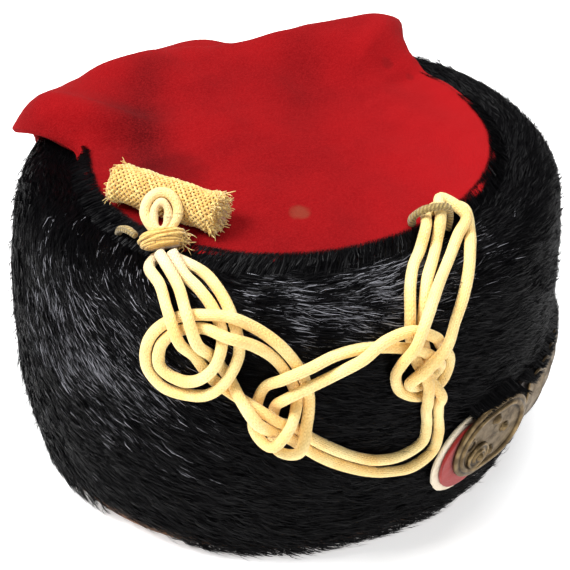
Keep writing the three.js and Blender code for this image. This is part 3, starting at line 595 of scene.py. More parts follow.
TUFT_FIBRES, TUFT_AT, KNOT_FIBRES = 260, 0.86, 60
tuft_theta = chance.uniform(0, 2 * math.pi, TUFT_FIBRES)
tuft_depth = chance.uniform(0, 1, TUFT_FIBRES) ** 0.6
tuft_inset = -TOGGLE_RADIUS * (1 - tuft_depth) * 0.9
tuft_roots = toggle_place(np.full(TUFT_FIBRES, TUFT_AT), tuft_theta, tuft_inset)
tuft_out = unit(tuft_roots - TOGGLE_MIDDLE - core_half * TUFT_AT)
tuft_ways = unit(toggle_along + tuft_out * (0.1 + 0.4 * tuft_depth[:, None] ** 2))
tuft_lengths = chance.uniform(2.5, 5.5, TUFT_FIBRES)
toggle_parts += frayed(tuft_roots, tuft_ways, tuft_lengths, 0.32, 0.7, 71)
knot_theta = chance.uniform(0, 2 * math.pi, KNOT_FIBRES)
knot_roots = toggle_place(chance.uniform(-1.0, -0.8, KNOT_FIBRES), knot_theta, 0.0)
knot_ways = unit(unit(knot_roots - TOGGLE_MIDDLE) + chance.normal(size=(KNOT_FIBRES, 3)) * 0.6)
toggle_parts += frayed(knot_roots, knot_ways, chance.uniform(1.5, 4, KNOT_FIBRES), 0.26, 1.2, 72)
points, triangles, tones = join_parts(toggle_parts)
toggle = mesh_object("toggle_braided", points, triangles, tone=tones)
dress(toggle, yellow_wool, "yellow_wool", "toggle")
print("toggle:", len(toggle_parts), "yarns and fibres,", len(triangles), "triangles")

# %% [markdown]
# The eye against the toggle is the cap line itself, doubled: an outer turn of cord, and a
# more worn inner turn nested in it. Both lie in one plane that faces the camera's side.

# %% The eye
EYE_MIDDLE = np.array([-71.9, -37.2, HEIGHT + 14.4])
EYE_FACING = unit(np.array([-0.34, -0.7, 0.62]))
EYE_UP = np.array([0.27, 0.56, 0.78])
EYE_ACROSS = unit(np.cross(EYE_UP, EYE_FACING))
EYE_UP = np.cross(EYE_FACING, EYE_ACROSS)
EYE_STEPS, EYE_SIDES, EYE_STEP = 72, 14, 0.6
EYE_TURNS = [
    # wide, tall, thick, lift, low, wear
    (6.3, 7.6, 1.95, 0.0, 0.0, 0.15), (2.7, 5.4, 1.8, 0.5, -1.6, 0.5),
]


def eye_turn(wide, tall, thick, lift, low):
    """One turn of the eye, as an oval wide by tall with its foot drawn in"""
    turn = circle(EYE_STEPS)
    narrow = 1 - 0.22 * smooth(-np.sin(turn))
    x, y = wide * np.cos(turn) * narrow, tall * np.sin(turn) + low
    path = EYE_MIDDLE + x[:, None] * EYE_ACROSS + y[:, None] * EYE_UP + lift * EYE_FACING
    centre = path.mean(0)
    out = unit(path - centre)
    theta = circle(EYE_SIDES)
    ring = out[:, None] * np.cos(theta)[None, :, None] + EYE_FACING * np.sin(theta)[None, :, None]
    points = path[:, None] + ring * thick
    return points.reshape(-1, 3), grid_triangles(EYE_STEPS, EYE_SIDES, True, True)[:, ::-1]


points, faces, wear = join_parts([(*eye_turn(*shape), wear) for *shape, wear in EYE_TURNS])
uv = cord_map(len(EYE_TURNS) * EYE_STEPS, EYE_SIDES, EYE_STEP)
eye = mesh_object("toggle_eye", points, faces, uv, wear=wear)
dress(eye, cord_finish, "cap_line_cord", "toggle_ring")

# %% [markdown]
# A wool thread is wound round the neck below the eye, where all the strands leave. It goes
# down in seven turns and comes back over them, and loose fibres stand out at one side.

# %% The bound neck
NECK_TOP = np.array([-73.8, -41.4, HEIGHT + 9.2])
NECK_DOWN = unit(np.array([-0.12, -0.75, -0.55]))
NECK_DEPTH = unit(np.cross(NECK_DOWN, [1, -0.3, 0]))
NECK_WIDE = np.cross(NECK_DEPTH, NECK_DOWN)


def neck_place(down, theta, out):
    girth = np.interp(down, [0, 1, 3, 6.6], [5.4, 6.9, 7.1, 6.3]) + out
    x, y = girth * 1.05 * np.cos(theta), girth * 0.74 * np.sin(theta)
    across = x[..., None] * NECK_WIDE + y[..., None] * NECK_DEPTH
    return NECK_TOP + down[..., None] * NECK_DOWN + across


NECK_SIDES, NECK_FIBRES = 24, 46
neck_down = np.array([0.0, 0.4, 1.5, 3, 5, 6.3, 6.6])
neck_core = neck_place(*np.broadcast_arrays(neck_down[:, None], circle(NECK_SIDES)[None]), -0.5)
neck_parts = [(neck_core, tube_triangles(len(neck_down), NECK_SIDES), 0.15)]
NECK_WRAPS = [
    # start, end, wraps, out, phase
    (0.3, 6.3, 7, 0.0, 0), (5.9, 0.8, 4, 0.7, 2), (1.4, 5.2, 2.4, 1.3, 4),
]
turns = np.linspace(0, 1, 220)
for start, end, wraps, out, phase in NECK_WRAPS:
    theta = phase + 2 * math.pi * wraps * turns
    down = start + (end - start) * turns + 0.5 * np.sin(theta + phase)
    path = neck_place(np.clip(down, 0.2, 6.5), theta, out + 0.2 * np.sin(turns * 23))
    points, triangles = sweep(path, 0.52, 6)
    neck_parts.append((points, triangles, 0.35 + 0.2 * out))
neck_start = chance.uniform(2, 6, NECK_FIBRES)
neck_roots = neck_place(neck_start, chance.uniform(-0.9, 0.5, NECK_FIBRES), 0.3)
neck_ways = unit(NECK_WIDE + NECK_DOWN * 0.7 + chance.normal(size=(NECK_FIBRES, 3)) * 0.55)
neck_parts += frayed(neck_roots, neck_ways, chance.uniform(2.5, 6.5, NECK_FIBRES), 0.2, 1.3, 73)
points, triangles, tones = join_parts(neck_parts)
neck = mesh_object("neck_winding", points, triangles, tone=tones)
dress(neck, yellow_wool, "yellow_wool", "neck_binding")

# %% The lengths of the two strands, in metres
first_length * MM
second_length * MM

# %% [markdown]
# Two loops of old brown cord are sewn in at the bag's seam. The right one holds the cap
# line, and the left one shows beside the toggle's neck. They are tubes with a coarse twist.

# %% Hanger loops
brown_cord = Finish("brown cord", Roughness=0.9, Sheen_Weight=0.3)
brown_round, brown_along, _ = brown_cord.axes("ShaderNodeTexCoord", "UV")
brown_twist = ((brown_along * 0.7 + brown_round * 3) * (2 * math.pi)).sine() * 0.5 + 0.5
brown_grain = brown_cord.noise(0.0009, 3)
brown_base = brown_cord.mix(brown_grain.smooth(0.3, 0.7), colour(150, 124, 66), colour(196, 172, 108))
# Painted shade: the brown is darkened in the grooves of the twist.
brown_shaded = brown_cord.mix((1 - brown_twist) * 0.55, brown_base, colour(92, 66, 30))
brown_cord.feed(Base_Color=brown_shaded)
brown_cord.bump(brown_twist + brown_grain * 0.5, 0.0005, 0.9)

HANGER, HANGER_SIDES, HANGER_STEP = 3, 16, 0.5
HANGER_LOOPS = {
    "hanger_loop_right": [
        (20.2, -66.8, 139.9), (19.6, -67.6, 143.5), (22.3, -69.8, 147.8), (27, -71.6, 149.6),
        (31.4, -72.3, 148.7), (33.7, -71.6, 144.6), (33.7, -71.6, 137),
    ],
    "hanger_loop_left": [
        (-85.3, -25, 135.9), (-85.2, -28.4, 140), (-83.9, -33.2, 142.6), (-82.6, -37.6, 143),
    ],
}
for name, places in HANGER_LOOPS.items():
    path, length = spline(places, HANGER_STEP)
    points, triangles = sweep(path, HANGER / 2 * (1 + 0.07 * Waves(31, 4)(path)), HANGER_SIDES)
    round_cord = np.tile(np.arange(HANGER_SIDES) / HANGER_SIDES, len(path))
    uv = np.stack([round_cord, np.repeat(np.arange(len(path)) * HANGER_STEP, HANGER_SIDES)], 1)
    loop = mesh_object(name + "_twisted", points, triangles, uv)
    dress(loop, brown_cord, "brown_cord", name)

# %% [markdown]
# The bag is one sheet of milled red wool, about 2 mm thick. It is sewn to the turned-in fur
# all round the crown, lies over the crown with a raised corner at one side, rolls over the
# rim at the other and hangs down behind. Two tables give its edge, a row for each stretch,
# and its folds, which are pressed into the crown.

# %% The bag's edge and folds
BAG_EDGE = np.array([
    # around, out, up, reach
    (-170, 0.6, 3.4, 0.6), (-90, 0.6, 3.4, 0.6), (0, 0.6, 3.5, 0.6), (25, 1.5, 4.5, 1.5),
    (33, 5, 10, 5), (38, 13, 14, 12), (42, 20, 19, 18), (46, 20, 19, 18),
    (54, 11, 19, 12), (64, 8, 17, 9), (72, 5, 15, 6), (82, 3, 13, 6),
    (93, 6, 11, 18), (102, 13, 11, 60), (110, 18, 12, 118), (118, 22, 11, 136),
    (125, 26, 9.5, 124), (131, 29, 10, 78), (137, 30, 12.5, 34), (142, 30, 16, 26),
    (146, 28, 15.5, 23), (149, 23, 13, 19), (152, 13, 8, 13), (156, 3, 4.5, 3),
    (165, 0.8, 3.8, 0.8), (190, 0.6, 3.4, 0.6),
])
BAG_FOLDS = [
    # from x, y, to x, y, half width, depth
    (-36, 72, -51, 44, 9, 3.5), (-51, 44, -59, 10, 11, 5.5), (33, 62, 14, 14, 10, 1.6),
]
TOP_SHARES = [0.2, 0.4, 0.58, 0.74, 0.88]
REACH_STOPS = [0.5, 8, 16, 24, 32, 80]
CLOTH, BAG_THICK, BAG_CLEAR, TAIL_STAND = 2, 9, 0.5, 4


def bag_edge(around):
    place = (around + 170) % 360 - 170
    index = np.searchsorted(BAG_EDGE[:, 0], place, side="right") - 1
    index = np.clip(index, 0, len(BAG_EDGE) - 2)
    low, high = BAG_EDGE[index], BAG_EDGE[index + 1]
    share = smooth((place - low[:, 0]) / (high[:, 0] - low[:, 0]))
    return [mix(low[:, column], high[:, column], share) for column in (1, 2, 3)]


def fold_depth(x, y):
    depth = np.zeros_like(x)
    for x1, y1, x2, y2, width, deep in BAG_FOLDS:
        dx, dy = x2 - x1, y2 - y1
        along = np.clip(((x - x1) * dx + (y - y1) * dy) / (dx * dx + dy * dy), 0, 1)
        away = np.hypot(x - x1 - along * dx, y - y1 - along * dy)
        depth = np.maximum(depth, deep * np.exp(-((away / width) ** 2)))
    return depth


def crown_point(angle, share, up):
    x = (HALF_LENGTH - SEAM_INSET) * share * np.cos(angle)
    y = (HALF_WIDTH - SEAM_INSET) * share * np.sin(angle)
    middle = 7 + 4 * share * np.cos(angle - math.radians(100))
    lift = mix(middle, up, smooth((share - 0.55) / 0.4))
    return np.stack([x, y, HEIGHT + lift - fold_depth(x, y)], -1)

# %% [markdown]
# Each way out from the middle is one smooth curve through the same rows of places as in the
# part's source: over the crown and down the tail, back underneath, and in under the crown.

# %% The bag's rows
def row_reach(reach, row):
    last = len(REACH_STOPS) - 1
    return reach if row == last else np.minimum(REACH_STOPS[row], reach - 0.1 * (last - row))


def bag_rows(around):
    """The bag's rows of places, from its top middle out, back underneath and in again"""
    angle = np.radians(around)
    out, up, reach = bag_edge(around)
    hangs = smooth((reach - 10) / 12)
    middle = np.array([0, 0, HEIGHT + 7.0]) * np.ones((len(around), 1))
    rows = [middle] + [crown_point(angle, share, up) for share in TOP_SHARES]
    rows.append(oval_point(angle, -SEAM_INSET + out * 0.55 - 2.6, HEIGHT + up))
    rows.append(oval_point(angle, -SEAM_INSET + out - 0.5, HEIGHT + up - 1.4))
    for row in range(len(REACH_STOPS)):
        past = np.maximum(out + 0.5 + 0.1 * row, row_reach(reach, row))
        settle = np.clip((past - out) / 24 + row / 12, 0, 1)
        lift = mix(up + PILE - 3, mix(PILE + 1.6, BAG_THICK, hangs), settle)
        rows.append(outside(around, SEAM_UP - past, lift - PILE))
    for row in reversed(range(len(REACH_STOPS))):
        past = row_reach(reach, row) - 0.3
        lift = PILE + BAG_CLEAR + TAIL_STAND * hangs * np.clip(past / 20, 0, 1)
        rows.append(outside(around, SEAM_UP - past, lift - PILE))
    wall = -SEAM_INSET - GAP
    slack = np.maximum(0, out - 4)
    for offset, drop in ((0, 0), (0, 4), (-CLOTH, 4), (-CLOTH, 0)):
        rows.append(oval_point(angle, wall + offset, HEIGHT - PILE - drop + 0 * angle))
    inner_up = np.minimum(3, up - CLOTH - 1)
    rows.append(oval_point(angle, wall - CLOTH + slack * 0.7, HEIGHT + inner_up))
    rows.append(oval_point(angle, wall - CLOTH + slack * 0.5, HEIGHT + up - CLOTH - 0.5))
    for share in reversed(TOP_SHARES):
        rows.append(crown_point(angle, share, up) - [0, 0, CLOTH])
    rows.append(middle - [0, 0, CLOTH])
    return np.stack(rows)


def soft_curves(rows, cuts):
    """Cubic B-splines down the rows, which round off every corner like thick cloth"""
    guide = np.concatenate([rows[:1], rows[:1], rows, rows[-1:], rows[-1:]])
    t = np.arange(cuts) / cuts
    blends = (1 - t) ** 3, 3 * t**3 - 6 * t**2 + 4, -3 * t**3 + 3 * t**2 + 3 * t + 1, t**3
    weights = np.stack(blends) / 6
    spans = [np.einsum("wt,wcx->tcx", weights, guide[k : k + 4]) for k in range(len(guide) - 3)]
    return np.concatenate([*spans, rows[-1:]])


# %% The bag's sheet
BAG_COLUMNS, BAG_CUTS = 300, 4
bag_around = np.arange(BAG_COLUMNS) * 360 / BAG_COLUMNS
smoothed = bag_rows(bag_around)
for _ in range(3):
    smoothed = (np.roll(smoothed, 1, 1) + 2 * smoothed + np.roll(smoothed, -1, 1)) / 4
bag_sheet = soft_curves(smoothed, BAG_CUTS)
down = np.gradient(bag_sheet, axis=0)
side = np.roll(bag_sheet, -1, 1) - np.roll(bag_sheet, 1, 1)
facing = np.cross(down, side)
facing /= np.maximum(np.linalg.norm(facing, axis=-1, keepdims=True), 1e-6)
outer_rows = 8 + len(REACH_STOPS)
fade = np.clip((outer_rows * BAG_CUTS - np.arange(len(bag_sheet))) / 8, 0, 1)
fade *= np.clip(np.arange(len(bag_sheet)) / 8, 0, 1)
ripple = 0.45 * Waves(41, 34)(bag_sheet) + 0.2 * Waves(42, 13)(bag_sheet)
bag_sheet = bag_sheet + facing * (ripple * fade[:, None])[..., None]
bag_faces = grid_triangles(len(bag_sheet), BAG_COLUMNS, close_columns=True)[:, ::-1]
# Painted shade: how deep each place lies in a fold, to darken the cloth in the folds' valleys.
bag_fold_shade = np.clip(fold_depth(bag_sheet[..., 0], bag_sheet[..., 1]) / 5.5, 0, 1)
bag = mesh_object("bag_sheet", bag_sheet, bag_faces, fold=bag_fold_shade.ravel())
bag.data.validate()
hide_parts("bag")
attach(bag, "root")
first, second, third = (bag_sheet.reshape(-1, 3)[bag_faces[:, corner]] for corner in range(3))
bag_area = np.linalg.norm(np.cross(second - first, third - first), axis=1).sum() / 2
print("bag:", len(bag_faces), "triangles, both faces", round(bag_area / 1e6, 4), "square metres")

# %% Red cloth
red_cloth = Finish("red cloth", Roughness=0.9, Specular_IOR_Level=0.06, Sheen_Weight=0.05)
red_cloth.shader.inputs["Sheen Tint"].default_value = colour(255, 130, 130)
cloth_x, cloth_y, _ = red_cloth.axes("ShaderNodeTexCoord", "Object")
cloth_mottle = red_cloth.noise(0.03, 5).smooth(0.25, 0.8)
cloth_nap = red_cloth.noise(0.0007, 4, roughness=0.7)
cloth_weave = ((cloth_x + cloth_y) * 4400).sine() * ((cloth_x - cloth_y) * 4400).sine()
cloth_red = red_cloth.mix(cloth_mottle, colour(132, 5, 10), colour(114, 2, 7))
# Painted light brightens the cloth on one side of the crown, and painted shade darkens it on another.
cloth_painted_light = (cloth_x * 0.9 - cloth_y * 0.44).smooth(0.0, 0.09)
cloth_painted_shade = (cloth_x * -0.34 - cloth_y * 0.7).smooth(0.02, 0.08)
# Over the mottled red: painted light, painted shade, painted shade in the folds' valleys, and a paler
# grain where the nap stands up.
for share, red in (
    (cloth_painted_light * 0.6, colour(172, 18, 24)),
    (cloth_painted_shade * 0.45, colour(92, 2, 7)),
    # Painted shade in the folds' valleys.
    (red_cloth.attribute("fold") * 0.8, colour(56, 1, 4)),
    ((cloth_nap - 0.4).clamp() * 0.9, colour(186, 40, 42)),
):
    cloth_red = red_cloth.mix(share, cloth_red, red)


def cloth_spot(x, y, size):
    """A soft round mark at a place on the crown, in millimetres"""
    from_x = (cloth_x - (HAT.x + x * MM)) / (size * MM)
    from_y = (cloth_y - (HAT.y + y * MM)) / (size * MM)
    away = (from_x * from_x + from_y * from_y) + (red_cloth.noise(0.004, 3) - 0.5) * 1.2
    return away.smooth(1.3, 0.1)


# Marks on the cloth: a brown stain, painted shade near the toggle, and two small dark spots.
CLOTH_STAINS_AND_SHADE = [
    # x, y, size, strength, colour
    (-17.5, -44.7, 4.5, 0.55, colour(120, 62, 44)),
    # Painted shade near the toggle.
    (-57, -3, 17, 0.4, colour(64, 1, 4)),
    (62, 36, 3.0, 0.3, colour(96, 14, 16)),
    (70, 29, 2.2, 0.3, colour(96, 14, 16)),
]
for x, y, size, strength, spot in CLOTH_STAINS_AND_SHADE:
    cloth_red = red_cloth.mix(cloth_spot(x, y, size) * strength, cloth_red, spot)
red_cloth.feed(Base_Color=cloth_red)
red_cloth.bump(cloth_nap + cloth_weave * 0.12, 0.0006, 0.7)
red_cloth.cover(bag, "red_cloth")

# %% [markdown]
# Each side has a cockade: a cream cloth disc, a smaller vermilion one on it, and the cast
# brass boss plate of the chin strap. The discs are cut from felted cloth, so their edges
# are soft and a little uneven, and their faces are not quite flat.

# %% Places along the chin strap
CHAIN_START, CHAIN_SIDE, CHAIN_FRONT = 72.7, 48, 44
STRAP_THICK, STRAP_WIDTH, STRAP_END = 2, 22, 56
COCKADE_RADIUS, COCKADE_RED, COCKADE_CLOTH = 20.5, 17.3, 1.5
COCKADE_ASIDE, COCKADE_LIFT, COCKADE_TILT = -5, 0.8, math.radians(5)


def chain_height(around):
    return CHAIN_FRONT + (CHAIN_SIDE - CHAIN_FRONT) * (around / CHAIN_START) ** 2


def chain_frame(around, lift):
    """The middle of the strap at a place round the cap, and its axes along, up and out"""
    here = outside(around, chain_height(around), 0.0, cord_profile)
    ahead = outside(around + 1, chain_height(around + 1), 0.0, cord_profile)
    out = outward(around, chain_height(around), cord_profile)
    up = unit(np.cross(out, ahead - here))
    return here + out * (lift - PILE), np.cross(up, out), up, out


def cockade_frame(sign):
    """The frame of a cockade, its front edge pressed down a little by the chain"""
    middle, along, up, out = chain_frame(np.float64(sign * CHAIN_START), COCKADE_LIFT)
    tilt = -sign * COCKADE_TILT
    return (
        middle, along * math.cos(tilt) - out * math.sin(tilt), up,
        out * math.cos(tilt) + along * math.sin(tilt),
    )


def on_chain(frame_axes, x, y, z):
    middle, along, up, out = frame_axes
    x, y, z = np.broadcast_arrays(x, y, z)
    return middle + x[..., None] * along + y[..., None] * up + z[..., None] * out


# %% Cockades
def felt_finish(name, light, dark):
    finish = Finish(name, Roughness=0.95, Sheen_Weight=0.3)
    nap = finish.noise(0.0008, 4)
    soiled = finish.noise(0.006, 4).smooth(0.4, 0.8)
    finish.feed(Base_Color=finish.mix(soiled * 0.7, finish.mix(nap * 0.3, light, dark), dark))
    finish.bump(nap, 0.0004, 0.7)
    return finish


cream_felt = felt_finish("cream felt", colour(238, 226, 202), colour(206, 188, 152))
vermilion_felt = felt_finish("vermilion felt", colour(160, 30, 24), colour(126, 18, 16))
DISC_SIDES = 96


def felt_disc(radius, frame_axes, low, seed):
    """A round of felt, its edge a little uneven and rounded over"""
    theta = circle(DISC_SIDES)
    shape = np.stack([np.cos(theta), np.sin(theta), np.zeros(DISC_SIDES)], -1)
    rim = radius * (1 + 0.008 * Waves(seed, 0.5)(shape) + 0.004 * Waves(seed + 1, 0.12)(shape))
    top = COCKADE_CLOTH
    profile = [(0.985, 0), (1, 0.3), (1.0, top - 0.4), (0.985, top - 0.1), (0.95, top)]
    profile += [(0.7, top), (0.35, top), (0.0, top)]
    rows = []
    for share, high in profile:
        dent = 0.15 * Waves(seed + 2, 0.7)(shape * share) * (high == top)
        x, y = rim * share * np.cos(theta), COCKADE_ASIDE + rim * share * np.sin(theta)
        rows.append(on_chain(frame_axes, x, y, low + high - np.abs(dent)))
    faces = grid_triangles(len(rows), DISC_SIDES, close_columns=True)
    underside = [[0, k + 1, k] for k in range(1, DISC_SIDES - 1)]
    return np.stack(rows).reshape(-1, 3), np.concatenate([faces, underside])


for side, sign in SIDES:
    place = cockade_frame(sign)
    for tone, radius, low, finish, slot, seed in (
        ("cream", COCKADE_RADIUS, 0, cream_felt, "cream_cloth", 51),
        ("red", COCKADE_RED, COCKADE_CLOTH + GAP, vermilion_felt, "vermilion_cloth", 61),
    ):
        points, triangles = felt_disc(radius, place, low, seed + sign)
        disc = mesh_object(f"cockade_{tone}_{side}_felt", points, triangles)
        dress(disc, finish, slot, f"cockade_{tone}_{side}")

# %% [markdown]
# The boss plate was cast and chased: a round-ended plate with a raised bead inside its edge,
# a ringed boss, three rivets and a pit. Its heights follow rows of insets from the edge.
# Brass tarnishes brown in the hollows, and stays bright where hands have rubbed it.

# %% Old brass
old_brass = Finish("old brass", Metallic=1.0)
brass_stain = old_brass.noise(0.006, 5).smooth(0.3, 0.72)
brass_fine = old_brass.noise(0.0012, 3)
brass_hollow = old_brass.attribute("hollow")
brass_tone = old_brass.mix(brass_stain, colour(138, 117, 83), colour(86, 71, 51))
brass_dark = (brass_hollow + brass_fine * 0.4 - 0.2).clamp()
brass_tone = old_brass.mix(brass_dark, brass_tone, colour(34, 26, 17))
old_brass.feed(Base_Color=brass_tone, Roughness=brass_stain * 0.22 + brass_fine * 0.18 + 0.26)
old_brass.bump(brass_fine, 0.0001, 0.4)

# %% Boss plates
PLATE_HALF, PLATE_RADIUS, PLATE_AHEAD = 4.5, 18.5, 11
BOSS_SIDES = 40
PLATE_ROWS = [
    # inset, height, hollow
    (0.6, 0, 0.6), (0, 0.4, 0.3), (0, 1.4, 0.1), (0.5, 1.85, 0), (1.3, 2.0, 0.2), (2.3, 2.0, 0.9),
    (2.6, 2.6, 0.1), (3.2, 3.1, 0), (4.0, 3.1, 0), (4.7, 2.6, 0.1), (5.1, 2.0, 0.9), (6.5, 1.95, 0.35),
    (9, 1.9, 0.25), (12, 1.9, 0.3), (18.4, 1.9, 0.3),
]
BOSS_ROWS = [
    # radius, height, hollow
    (6.7, 0, 0.8), (6.5, 0.9, 0.1), (6.1, 1.5, 0), (5.6, 1.4, 0.1), (5.1, 0.9, 0.9),
    (4.3, 1.1, 0.6), (3.8, 1.8, 0.1), (3.4, 2.2, 0), (3.0, 2.0, 0.3), (2.5, 1.7, 0.9),
    (1.9, 2.4, 0.2), (1.4, 3.0, 0), (0.7, 3.4, 0), (0.02, 3.5, 0),
]
RIVET_ROWS = [
    (2.9, 0, 0.7), (2.7, 0.5, 0.3), (2.2, 0.6, 0.5), (1.9, 1.1, 0.1), (1.2, 1.6, 0), (0.02, 1.75, 0),
]
PIT_ROWS = [
    (3.4, 0, 0.6), (3.1, 0.7, 0.1), (2.6, 0.7, 0.3), (2.3, 0.1, 1), (1.2, 0.05, 1), (0.02, 0.05, 1),
]
PLATE_PARTS = [
    # rows, x, y
    (BOSS_ROWS, -8, -6), (RIVET_ROWS, 1, 9), (RIVET_ROWS, 8, 0.5), (RIVET_ROWS, 0.5, -8.5),
    (PIT_ROWS, -14.8, 3.5),
]


def stadium(inset):
    """The plate's outline at an inset from its edge"""
    turn = np.linspace(-math.pi / 2, math.pi / 2, 33)
    radius = PLATE_RADIUS - inset
    right = np.stack([PLATE_HALF + radius * np.cos(turn), radius * np.sin(turn)], 1)
    return np.concatenate([right, -right])


def turned_rows(rows, x, y, low):
    """Rings of points for rows of radius and height, about an upright axis at x, y"""
    theta = circle(BOSS_SIDES)
    rings = []
    for radius, height, _ in rows:
        ring = x + radius * np.cos(theta), y + radius * np.sin(theta), low + height + 0 * theta
        rings.append(np.stack(ring, -1))
    return np.stack(rings)


def boss_plate(sign, place):
    """The plate with its boss, rivets and pit, each a grid of rows that closes round"""
    outlines = [(stadium(inset), high) for inset, high, _ in PLATE_ROWS]
    flat = np.stack([np.column_stack([edge, np.full(len(edge), high)]) for edge, high in outlines])
    parts = [(flat, PLATE_ROWS)]
    for rows, x, y in PLATE_PARTS:
        parts.append((turned_rows(rows, -sign * x, y, 1.85), rows))
    joined = []
    for grid, rows in parts:
        x, y, z = np.moveaxis(grid, -1, 0)
        points = on_chain(place, x - sign * PLATE_AHEAD, y, z + 2 * (COCKADE_CLOTH + GAP))
        hollow = np.repeat([hollow for *_, hollow in rows], grid.shape[1])
        joined.append((points, grid_triangles(*grid.shape[:2], close_columns=True), hollow))
    return join_parts(joined)


for side, sign in SIDES:
    points, triangles, hollow = boss_plate(sign, cockade_frame(sign))
    plate = mesh_object(f"boss_plate_{side}_cast", points, triangles, hollow=hollow)
    dress(plate, old_brass, "old_brass", f"boss_plate_{side}")

# %% [markdown]
# Twenty brass scales lap over each other along the strap, ten from each side towards the
# front. Each is a stamped plate, domed across, with a rolled edge and a pointed tip.

# %% Chin scales
SCALES, SCALES_END, SCALES_PARTING = 20, 52.5, 2.2
SCALE_LENGTH, SCALE_THICK, SCALE_TILT = 13.2, 1.1, math.radians(9.5)
SCALE_GRID = 15
scale_around = np.linspace(SCALES_END, SCALES_PARTING, 201)
scale_places = outside(scale_around, chain_height(scale_around), -PILE, cord_profile)
scale_runs = np.linalg.norm(np.diff(scale_places, axis=0), axis=1).cumsum()
scale_shares = (np.arange(SCALES // 2) + 0.5) / (SCALES // 2)
scale_degrees = np.interp(scale_shares * scale_runs[-1], scale_runs, scale_around[1:])


def scale_sheet(width):
    """One scale's top and underside as a grid, in its own frame"""
    along = np.linspace(0, 1, SCALE_GRID)[:, None]
    across = np.linspace(-1, 1, SCALE_GRID)[None]
    point = np.clip((along - 0.45) / 0.57, 0, 1) ** 2.4
    taper = mix(0.86, 1, smooth(along / 0.45)) * np.sqrt(np.clip(1 - point, 0, 1))
    x = along * SCALE_LENGTH - SCALE_LENGTH / 2 + 0 * across
    y = across * taper * width / 2
    edge = np.maximum(np.abs(across) ** 6 + 0 * along, np.clip((along - 0.8) / 0.2, 0, 1) ** 2)
    top = SCALE_THICK + 1.3 * (1 - (np.abs(across) * taper) ** 2) + 0.35 * edge
    low = top - 0.9
    shape = np.stack([np.stack([x, y, top], -1), np.stack([x, y, low], -1)])
    return shape, 0.15 + 0.6 * edge


def chin_scale(around):
    sign = np.sign(around)
    width = mix(STRAP_WIDTH - 1, STRAP_WIDTH + 5, abs(around) / STRAP_END)
    shape, hollow = scale_sheet(width)
    x, y, z = np.moveaxis(shape, -1, 0)
    cosine, sine = math.cos(SCALE_TILT), math.sin(SCALE_TILT)
    x, z = x * cosine - z * sine, z * cosine + x * sine
    if sign > 0:
        x, y = -x, -y
    points = on_chain(chain_frame(np.float64(around), GAP), x, y, z + STRAP_THICK + 1.3)
    numbers = np.arange(SCALE_GRID**2).reshape(SCALE_GRID, SCALE_GRID)
    rim = [*numbers[0], *numbers[1:, -1], *numbers[-1, -2::-1], *numbers[-2:0:-1, 0]]
    under, walls = SCALE_GRID**2, []
    for a, b in zip(rim, rim[1:] + rim[:1]):
        walls += [(a, b, b + under), (a, b + under, a + under)]
    sheet = grid_triangles(SCALE_GRID, SCALE_GRID)
    faces = np.concatenate([sheet[:, ::-1], sheet + under, walls])
    return points.reshape(-1, 3), faces, np.tile(hollow.ravel(), 2)


for index, around in enumerate(scale_degrees):
    for side, sign in SIDES:
        points, triangles, hollow = chin_scale(sign * around)
        name = f"chin_scale_{side}_{index + 1:02d}"
        scale = mesh_object(name + "_domed", points, triangles, hollow=hollow)
        dress(scale, old_brass, "old_brass", name)

# %% Leather of the strap and the lower edge
def leather_finish(name, light, dark):
    finish = Finish(name, Roughness=0.62)
    worn = finish.noise(0.007, 5).smooth(0.35, 0.7)
    inputs = {"Scale": 900.0, "Vector": finish.node("ShaderNodeTexCoord", output="Object")}
    grain = finish.node("ShaderNodeTexVoronoi", inputs, output="Distance")
    finish.feed(Base_Color=finish.mix(worn, light, dark))
    finish.bump(grain + worn, 0.0003, 0.6)
    return finish


strap_leather = leather_finish("strap leather", colour(52, 42, 36), colour(30, 24, 20))
worn_leather = leather_finish("worn leather", colour(136, 102, 76), colour(84, 60, 46))
strap_leather.cover(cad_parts["chin_strap"], "strap_leather")
worn_leather.cover(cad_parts["leather_rim_band"], "worn_leather")

# %% [markdown]
# The fur is short, dense and glossy. It is laid to the wearer's front all round the right
# side, runs slantwise near the bag's fold, and lies in small tufts whose tips cling
# together. Some hairs have their tips painted pale where the fur shines, a painted sheen:
# on one flank, and high under the seam.

# %% How the fur lies
FUR_LOW = 3.5
HAIR_LENGTH = (7.5, 11)
HAIR_WIDTH = 0.31
ROOT_DEPTH, STRAY_SHARE = 2.3, 0.035
TUFT_DEGREES, TUFT_HEIGHT, TUFT_ROWS, TUFT_PULL = 2.4, 3.6, 80, 0.42
MEAN_RADIUS = 107.0
tuft_slope = Waves(81, 46)
tuft_fine = Waves(82, 17)
tuft_long = Waves(83, 24)
tuft_stand = Waves(84, 30)


def hair_slope(around, up, places):
    """Degrees by which the hairs dip below level as they run on round the cap"""
    back = np.exp(-(((around + 160 + 180) % 360 - 180) / 26) ** 2)
    dip = 9 + 30 * back * smooth((up - 60) / 50)
    return dip + 9 * tuft_slope(places) + 9 * tuft_fine(places)


